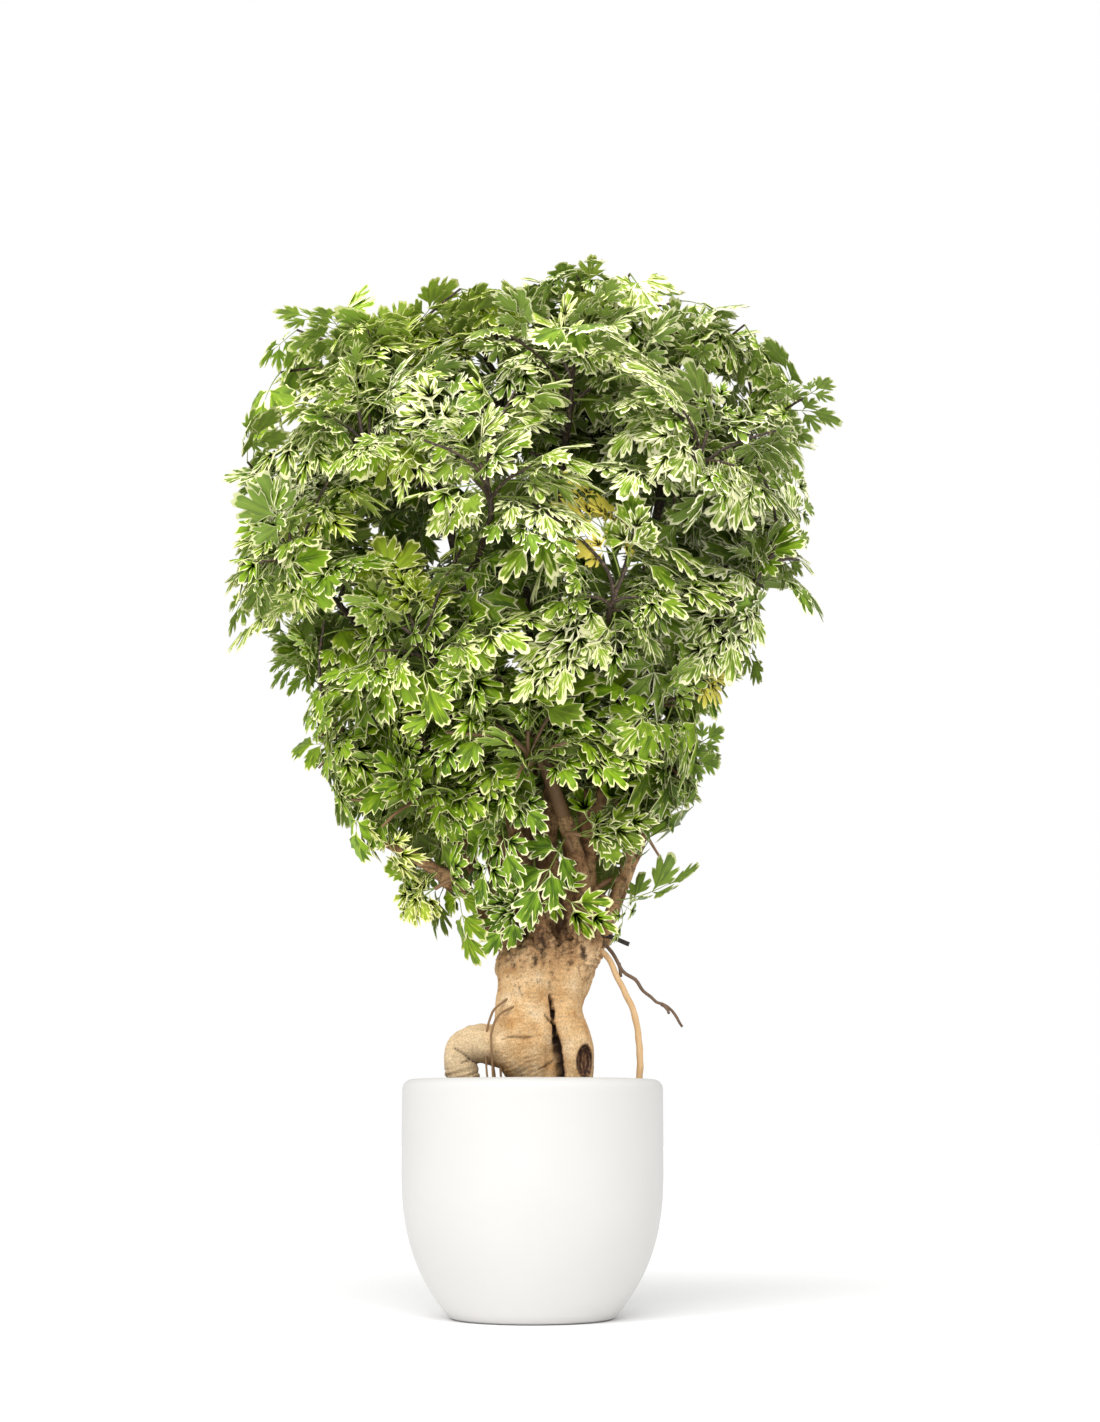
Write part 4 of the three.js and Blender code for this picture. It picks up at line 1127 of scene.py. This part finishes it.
# Where leaves are tinted: place, radius, and how creamy, fresh and yellow they are there
TINTS = [
    ((19, -120, 540), 30, (0.8, 0.6, 0.9)),
    ((143, -20, 430), 26, (0.3, 0.9, 0.65)),
    ((-145, -60, 540), 18, (0.4, 0.9, 0.4)),
    ((-90, -44, 292), 40, (0.8, 1.0, 0.15)),
    ((-68, -60, 705), 55, (0.2, 1.0, 0.1)),
    ((48, -40, 712), 34, (0.0, 1.0, 0.15)),
    ((-86, -110, 520), 50, (0.3, 1.0, 0.15)),
    ((-172, -40, 578), 45, (0.9, 0.3, 0.0)),
    ((-76, -110, 612), 45, (0.9, 0.2, 0.0)),
    ((-6, -62, 268), 50, (0.3, 0.55, 0.0)),
]
SHOOTS = 5
RIDGE_SHOOTS = 8
INNER_SHOOTS = 4
SHORTEST_SHOOT = 12
SHOOT_STEPS = 9
LEAVES_PER_SHOOT = 6
LEAVES_PER_INNER = 5
TUFT_LEAVES = 4
LEAF_TRIES = 10
LEAF_SEED = 900
LOOK_SEED = 500
LEAF_SIZES = (0.44, 0.66)
# The lone sprays low on the stems reach less far than this, and carry smaller leaves alone
LONE_REACH = 60
LONE_SIZE = 0.8
# How light the leaves are: low down, and at the top, where a painted light makes them lighter, from
# leaf to leaf, tinted, and inside the crown, where a painted shade darkens them and they are less
# creamy too
LOW_PAINTED_LIGHT = 0.92
TOP_PAINTED_LIGHT = 0.2
SHADE_RANGE = (0.8, 1.14)
TINT_SHADE = 1.05
INNER_PAINTED_SHADE = 0.64
INNER_CREAM = 0.3
# The crown's edges on the left and the right by height, its upper edge across the tree, and how
# that falls towards the front and the back on both sides of a level ridge
EDGE_HEIGHTS = [265, 291, 320, 355, 384, 409, 427, 455, 473, 500, 515, 545, 589, 631, 650, 684, 711]
LEFT_EDGE = [-90, -105, -130, -144, -176, -173, -153, -185, -222, -226, -228, -228, -231, -221,
             -196, -195, -172]
RIGHT_EDGE = [47, 65, 93, 124, 124, 130, 140, 152, 157, 163, 204, 207, 218, 207, 201, 186, 160]
TOP_ACROSS = [-225, -205, -190, -172, -128, -76, -25, -3, 24, 49, 70, 93, 155, 182, 205, 222]
TOP_HEIGHTS = [600, 665, 705, 720, 734, 745, 733, 738, 748, 766, 744, 728, 720, 700, 650, 580]
DOME_SLOPE = 0.36
RIDGE_FLAT = 25
LOWEST_HANG = 30
# In front of the stems no small leaf grows in an oval, so the stems show between the leaves
STEM_WINDOW = (22, 298)
STEM_WINDOW_SIZE = (38, 66)


def crown_excess(place):
    """How far a place is outside the crown, as a share of its half width. Below 0 is inside."""
    left = np.interp(place.z, EDGE_HEIGHTS, LEFT_EDGE)
    half = (np.interp(place.z, EDGE_HEIGHTS, RIGHT_EDGE) - left) / 2
    deep = crown_at(min(max(place.z, CROWN[0][0]), SHOULDER_HEIGHT))[2]
    sideways = math.hypot((place.x - left) / half - 1, place.y / deep) - 1
    top = np.interp(place.x, TOP_ACROSS, TOP_HEIGHTS)
    above = (place.z + DOME_SLOPE * max(0, abs(place.y) - RIDGE_FLAT) - top) / half
    below = (CROWN[0][0] - LOWEST_HANG - place.z) / half
    window = 0
    if place.y < 0:
        window = 1 - math.hypot((place.x - STEM_WINDOW[0]) / STEM_WINDOW_SIZE[0],
                                (place.z - STEM_WINDOW[1]) / STEM_WINDOW_SIZE[1])
    return max(sideways, above, below, window)


def leaf_point(leaf, droop, far, side):
    """A place on a leaf's arch: shares of its length along it and to one side."""
    root, along, face, size = leaf
    whole = (LEAF_LENGTH + STALK_LENGTH) * size
    drop = droop * far * far + CROSS_ARCH * side * side
    return root + along * (far * whole) + face.cross(along) * (side * whole) - face * drop * whole


def grow_shoots(spray, draws):
    """Side shoots that spread from the twig and end inside the crown."""
    side = spray["growth"].cross(UP).normalized()
    rise = side.cross(spray["growth"]).normalized()
    shoots = []
    count = 0 if spray["reach"] < LONE_REACH else RIDGE_SHOOTS if spray["ridge"] else SHOOTS
    for k in range(count):
        turn = math.tau * (k + draws.uniform(-0.2, 0.2)) / count + 0.9
        spread = draws.uniform(0.6, 1.1)
        start = bend_point(spray["twig"], draws.uniform(0.05, 0.7))
        away = (spray["growth"] * math.cos(spread)
                + (side * math.cos(turn) + rise * math.sin(turn)) * math.sin(spread))
        length = spray["reach"] * draws.uniform(0.4, 0.9)
        while length > SHORTEST_SHOOT and crown_excess(start + away * length) > -0.04:
            length *= 0.8
        end = start + away * length
        shoots.append(bend(start, start + spray["growth"] * 0.4 * length, end))
    return shoots


def grow_inner_shoots(spray, draws):
    """Short shoots along the branch, whose leaves fill the shaded inside of the crown."""
    shoots = []
    for k in range(INNER_SHOOTS if spray["reach"] > LONE_REACH else 0):
        t = 0.25 + 0.6 * (k + draws.random()) / INNER_SHOOTS
        start = bend_point(spray["branch"], t)
        aside = Vector([draws.uniform(-1, 1) for _ in range(3)])
        away = (0.5 * spray["growth"] + aside).normalized()
        length = draws.uniform(18, 42)
        shoots.append(bend(start, start + bend_along(spray["branch"], t) * 0.4 * length,
                           start + away * length))
    return shoots


def grow_leaf(root, axis, spray, draws, forms, tilts, sizes):
    """One small leaf: of a few tries, the one that stays best inside the crown."""
    best = None
    for _ in range(LEAF_TRIES):
        form, droop = draws.choice(forms)
        loose = Vector([draws.uniform(-0.3, 0.3) for _ in range(3)])
        along, face = point_leaf((axis + loose).normalized(), spray["growth"],
                                 draws.uniform(0, math.tau), draws.uniform(*tilts),
                                 draws.uniform(-0.8, 0.8), draws.uniform(0.5, 1.1),
                                 draws.uniform(0, 0.7))
        leaf = (root, along, face, draws.uniform(*sizes))
        excess = max(crown_excess(leaf_point(leaf, droop, far, side))
                     for far, side in ((1, 0), (0.6, 0.35), (0.6, -0.35)))
        if best is None or excess < best[0]:
            best = (excess, form, leaf)
        if excess < 0.02:
            break
    return best


def spray_leaves(spray, shoots, inner_shoots, draws):
    """All the leaves of a spray: the three large ones, a tuft at the tip, and the rosettes."""
    lone = spray["reach"] < LONE_REACH
    leaves = [(draws.choice(lone_forms if lone else large_forms)[0], leaf, False)
              for leaf in spray["leaves"]]
    sizes = [size * (LONE_SIZE if lone else 1) for size in LEAF_SIZES]
    # A bud's place and way, its leaf forms, its tilts, and how far its leaf may leave the crown
    buds = [(bend_point(spray["twig"], 1), bend_along(spray["twig"], 1), small_forms,
             (0.2, 0.9), 0.3 if lone else 0.15)] * TUFT_LEAVES
    for shoot in shoots:
        for k in range(LEAVES_PER_SHOOT):
            t = 1 - 0.09 * k
            buds.append((bend_point(shoot, t), bend_along(shoot, t), small_forms,
                         (0.4, 1.35), 0.1 if k == 0 else 0.04))
    for shoot in inner_shoots:
        for k in range(LEAVES_PER_INNER):
            t = 1 - 0.12 * k
            buds.append((bend_point(shoot, t), bend_along(shoot, t), inner_forms,
                         (0.5, 1.5), 0.04))
    for root, axis, forms, tilts, most_excess in buds:
        excess, form, leaf = grow_leaf(root, axis, spray, draws, forms, tilts, sizes)
        if excess < most_excess:
            leaves.append((form, leaf, forms is inner_forms))
    return leaves


def leaf_looks(spray, draws):
    """Looks for a spray's leaves, fresher on the left and low down, and creamier high up."""
    left = 0.5 - spray["tip"].x / 420
    low = 1 - ramp(380, 640, spray["tip"].z)
    looks = []
    for cell in range(LOOKS):
        fresh = 0.26 + 0.5 * left + 0.4 * low + draws.uniform(-0.34, 0.34)
        cream = 0.68 - 0.5 * low + draws.uniform(-0.45, 0.45)
        fresh, cream = min(1, max(0, fresh)), min(1, max(0, cream))
        cream *= 1 if cell < OUTER_LOOKS else INNER_CREAM
        looks.append((cream, fresh, 0.06 * draws.random()))
    return looks


def tint_at(place):
    """The number of the tint that a place has, if any."""
    near = [i for i, (middle, radius, _) in enumerate(TINTS)
            if (place - Vector(middle)).length < radius]
    return near[0] if near else None


def grow_spray(number, spray):
    """A spray's mesh: its leaves, then its twig and shoots."""
    draws = random.Random(LEAF_SEED + number)
    shoots = grow_shoots(spray, draws)
    inner_shoots = grow_inner_shoots(spray, draws)
    leaves = spray_leaves(spray, shoots, inner_shoots, draws)
    looks = leaf_looks(spray, draws)
    bm = bmesh.new()
    rows = []
    for k, (form, leaf, inner) in enumerate(leaves):
        root, along, face, size = leaf
        basis = Matrix((along, face.cross(along), face)).transposed().to_4x4()
        first = len(bm.verts)
        bm.from_mesh(form)
        bm.verts.ensure_lookup_table()
        bmesh.ops.transform(bm, verts=bm.verts[first:],
                            matrix=Matrix.Translation(root) @ basis @ Matrix.Scale(size, 4))
        tint = tint_at(leaf_point(leaf, LEAF_DROOP, 0.7, 0))
        if inner:
            cell = OUTER_LOOKS + k % INNER_LOOKS
        elif tint is None:
            cell = k % OUTER_LOOKS
        else:
            cell = LOOKS + tint % TINT_CELLS
        look = looks[cell] if cell < LOOKS else TINTS[tint][2]
        rows.append((len(form.vertices), look, cell))
    leaf_faces = len(bm.faces)
    leaf_verts = len(bm.verts)
    bake = bm.verts.layers.float_vector["bake"]
    rods = [(spray["twig"], 2.1, 1.3), *[(shoot, 1.5, 0.9) for shoot in shoots + inner_shoots]]
    for curve, thick, thin in rods:
        places = [bend_point(curve, i / SHOOT_STEPS) for i in range(SHOOT_STEPS + 1)]
        places = [p + 0.7 * noise.noise_vector(p / 9) for p in places]
        radii = [(thick + (thin - thick) * i / SHOOT_STEPS) * (1.1 if i % 3 == 1 else 1)
                 for i in range(SHOOT_STEPS + 1)]
        add_rod(bm, places, radii, 6, bake)
    rows.append((len(bm.verts) - leaf_verts, (0, 0, 0), LOOKS + TINT_CELLS))
    bm.faces.ensure_lookup_table()
    for face in bm.faces[leaf_faces:]:
        face.material_index = WOOD
    bmesh.ops.recalc_face_normals(bm, faces=bm.faces[leaf_faces:])
    return bm, rows


def store_looks(mesh, rows, light, draws):
    """Writes every leaf's look to its corners, and a map with one cell for each look."""
    counts = [row[0] for row in rows]
    cells = np.repeat([row[2] for row in rows], counts)
    seeds = np.array([draws.uniform(0, 60) for _ in range(BAKE_CELLS ** 2)], np.float32)
    # Each cell's tone differs at random, times the spray's painted light
    tones_and_painted_light = np.array([light * draws.uniform(*SHADE_RANGE) for _ in range(BAKE_CELLS ** 2)],
                      np.float32)
    # Leaves inside the crown are darkened as painted shade
    tones_and_painted_light[OUTER_LOOKS:LOOKS] *= INNER_PAINTED_SHADE
    tones_and_painted_light[LOOKS:LOOKS + TINT_CELLS] = TINT_SHADE
    mesh.attributes.new("seed", "FLOAT", "POINT").data.foreach_set("value", seeds[cells])
    mesh.attributes.new("tone_and_painted_light", "FLOAT", "POINT").data.foreach_set("value", tones_and_painted_light[cells])
    looks = np.repeat([row[1] for row in rows], counts, axis=0).astype(np.float32)
    mesh.attributes.new("look", "FLOAT_VECTOR", "POINT").data.foreach_set("vector", looks.ravel())
    flat = np.empty(len(mesh.vertices) * 3, np.float32)
    mesh.attributes["bake"].data.foreach_get("vector", flat)
    places = flat.reshape(-1, 3)[:, :2]
    offsets = np.stack([cells % BAKE_CELLS, cells // BAKE_CELLS], axis=1)
    corners = np.empty(len(mesh.loops), np.int32)
    mesh.loops.foreach_get("vertex_index", corners)
    uvs = ((places + offsets) / BAKE_CELLS)[corners].astype(np.float32)
    mesh.uv_layers.new(name="OFBake").data.foreach_set("uv", uvs.ravel())


for number, spray in enumerate(sprays):
    spray["ridge"] = number >= SPRAY_COUNT
    spray_mesh, rows = grow_spray(number, spray)
    foliage = finish_piece(f"leaves_{number + 1:02d}", spray_mesh, upper_leaf, lower_leaf,
                           young_bark)
    # Sprays at the top of the crown are made lighter, as painted light
    light = LOW_PAINTED_LIGHT + TOP_PAINTED_LIGHT * ramp(530, 640, spray["tip"].z)
    store_looks(foliage.data, rows, light, random.Random(LOOK_SEED + number))
    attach(foliage, "root")
    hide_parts(f"spray_{number + 1:02d}")

# Studio
# A floor of white paper under an even sky, and one broad soft lamp high on the left. The sky lights
# the tree a little less than the white backdrop that the camera sees behind it.
PAPER_CLOUD = 25 * MM
FLOOR_RADIUS = 12000
FLOOR_GAP = 0.0005
SKY_LIGHT = 0.68
LAMP_STRENGTH = 2.5
LAMP_SPREAD = 60
LAMP_RISE = 44
LAMP_LEFT = 12

paper = start_material("studio_floor_white_paper")
place = add_node(paper, "TexCoord")["Object"]
fibres = add_node(paper, "TexNoise", {"Vector": place, "Scale": 1 / PAPER_CLOUD, "Detail": 2})["Fac"]
white = add_node(paper, "Mix", {0: fibres, 6: srgb("fdfdfd"), 7: srgb("ffffff")},
                 data_type="RGBA")[2]
matt = add_node(paper, "BsdfPrincipled",
                {"Base Color": white, "Roughness": 0.9, "Specular IOR Level": 0.1})[0]
add_node(paper, "OutputMaterial", {"Surface": matt})
floor_mesh = bmesh.new()
bmesh.ops.create_circle(floor_mesh, cap_ends=True, radius=FLOOR_RADIUS, segments=96)
floor = finish_piece("floor", floor_mesh, paper)
floor.location.z = cad_box[0].z - FLOOR_GAP

world = bpy.data.worlds.new("studio")
world.use_nodes = True
world.node_tree.nodes.clear()
seen = add_node(world, "LightPath")["Is Camera Ray"]
sky, backdrop = [add_node(world, "Background", {"Color": (1, 1, 1, 1), "Strength": strength})[0]
                 for strength in (SKY_LIGHT, 1)]
around = add_node(world, "MixShader", {0: seen, 1: sky, 2: backdrop})[0]
add_node(world, "OutputWorld", {"Surface": around})
bpy.context.scene.world = world
lamp = bpy.data.objects.new("broad_lamp", bpy.data.lights.new("broad_lamp", "SUN"))
lamp.data.energy = LAMP_STRENGTH
lamp.data.angle = math.radians(LAMP_SPREAD)
lamp.rotation_euler = (math.radians(90 - LAMP_RISE), 0, math.radians(-LAMP_LEFT))
bpy.context.scene.collection.objects.link(lamp)
bpy.context.scene.view_settings.view_transform = "Standard"
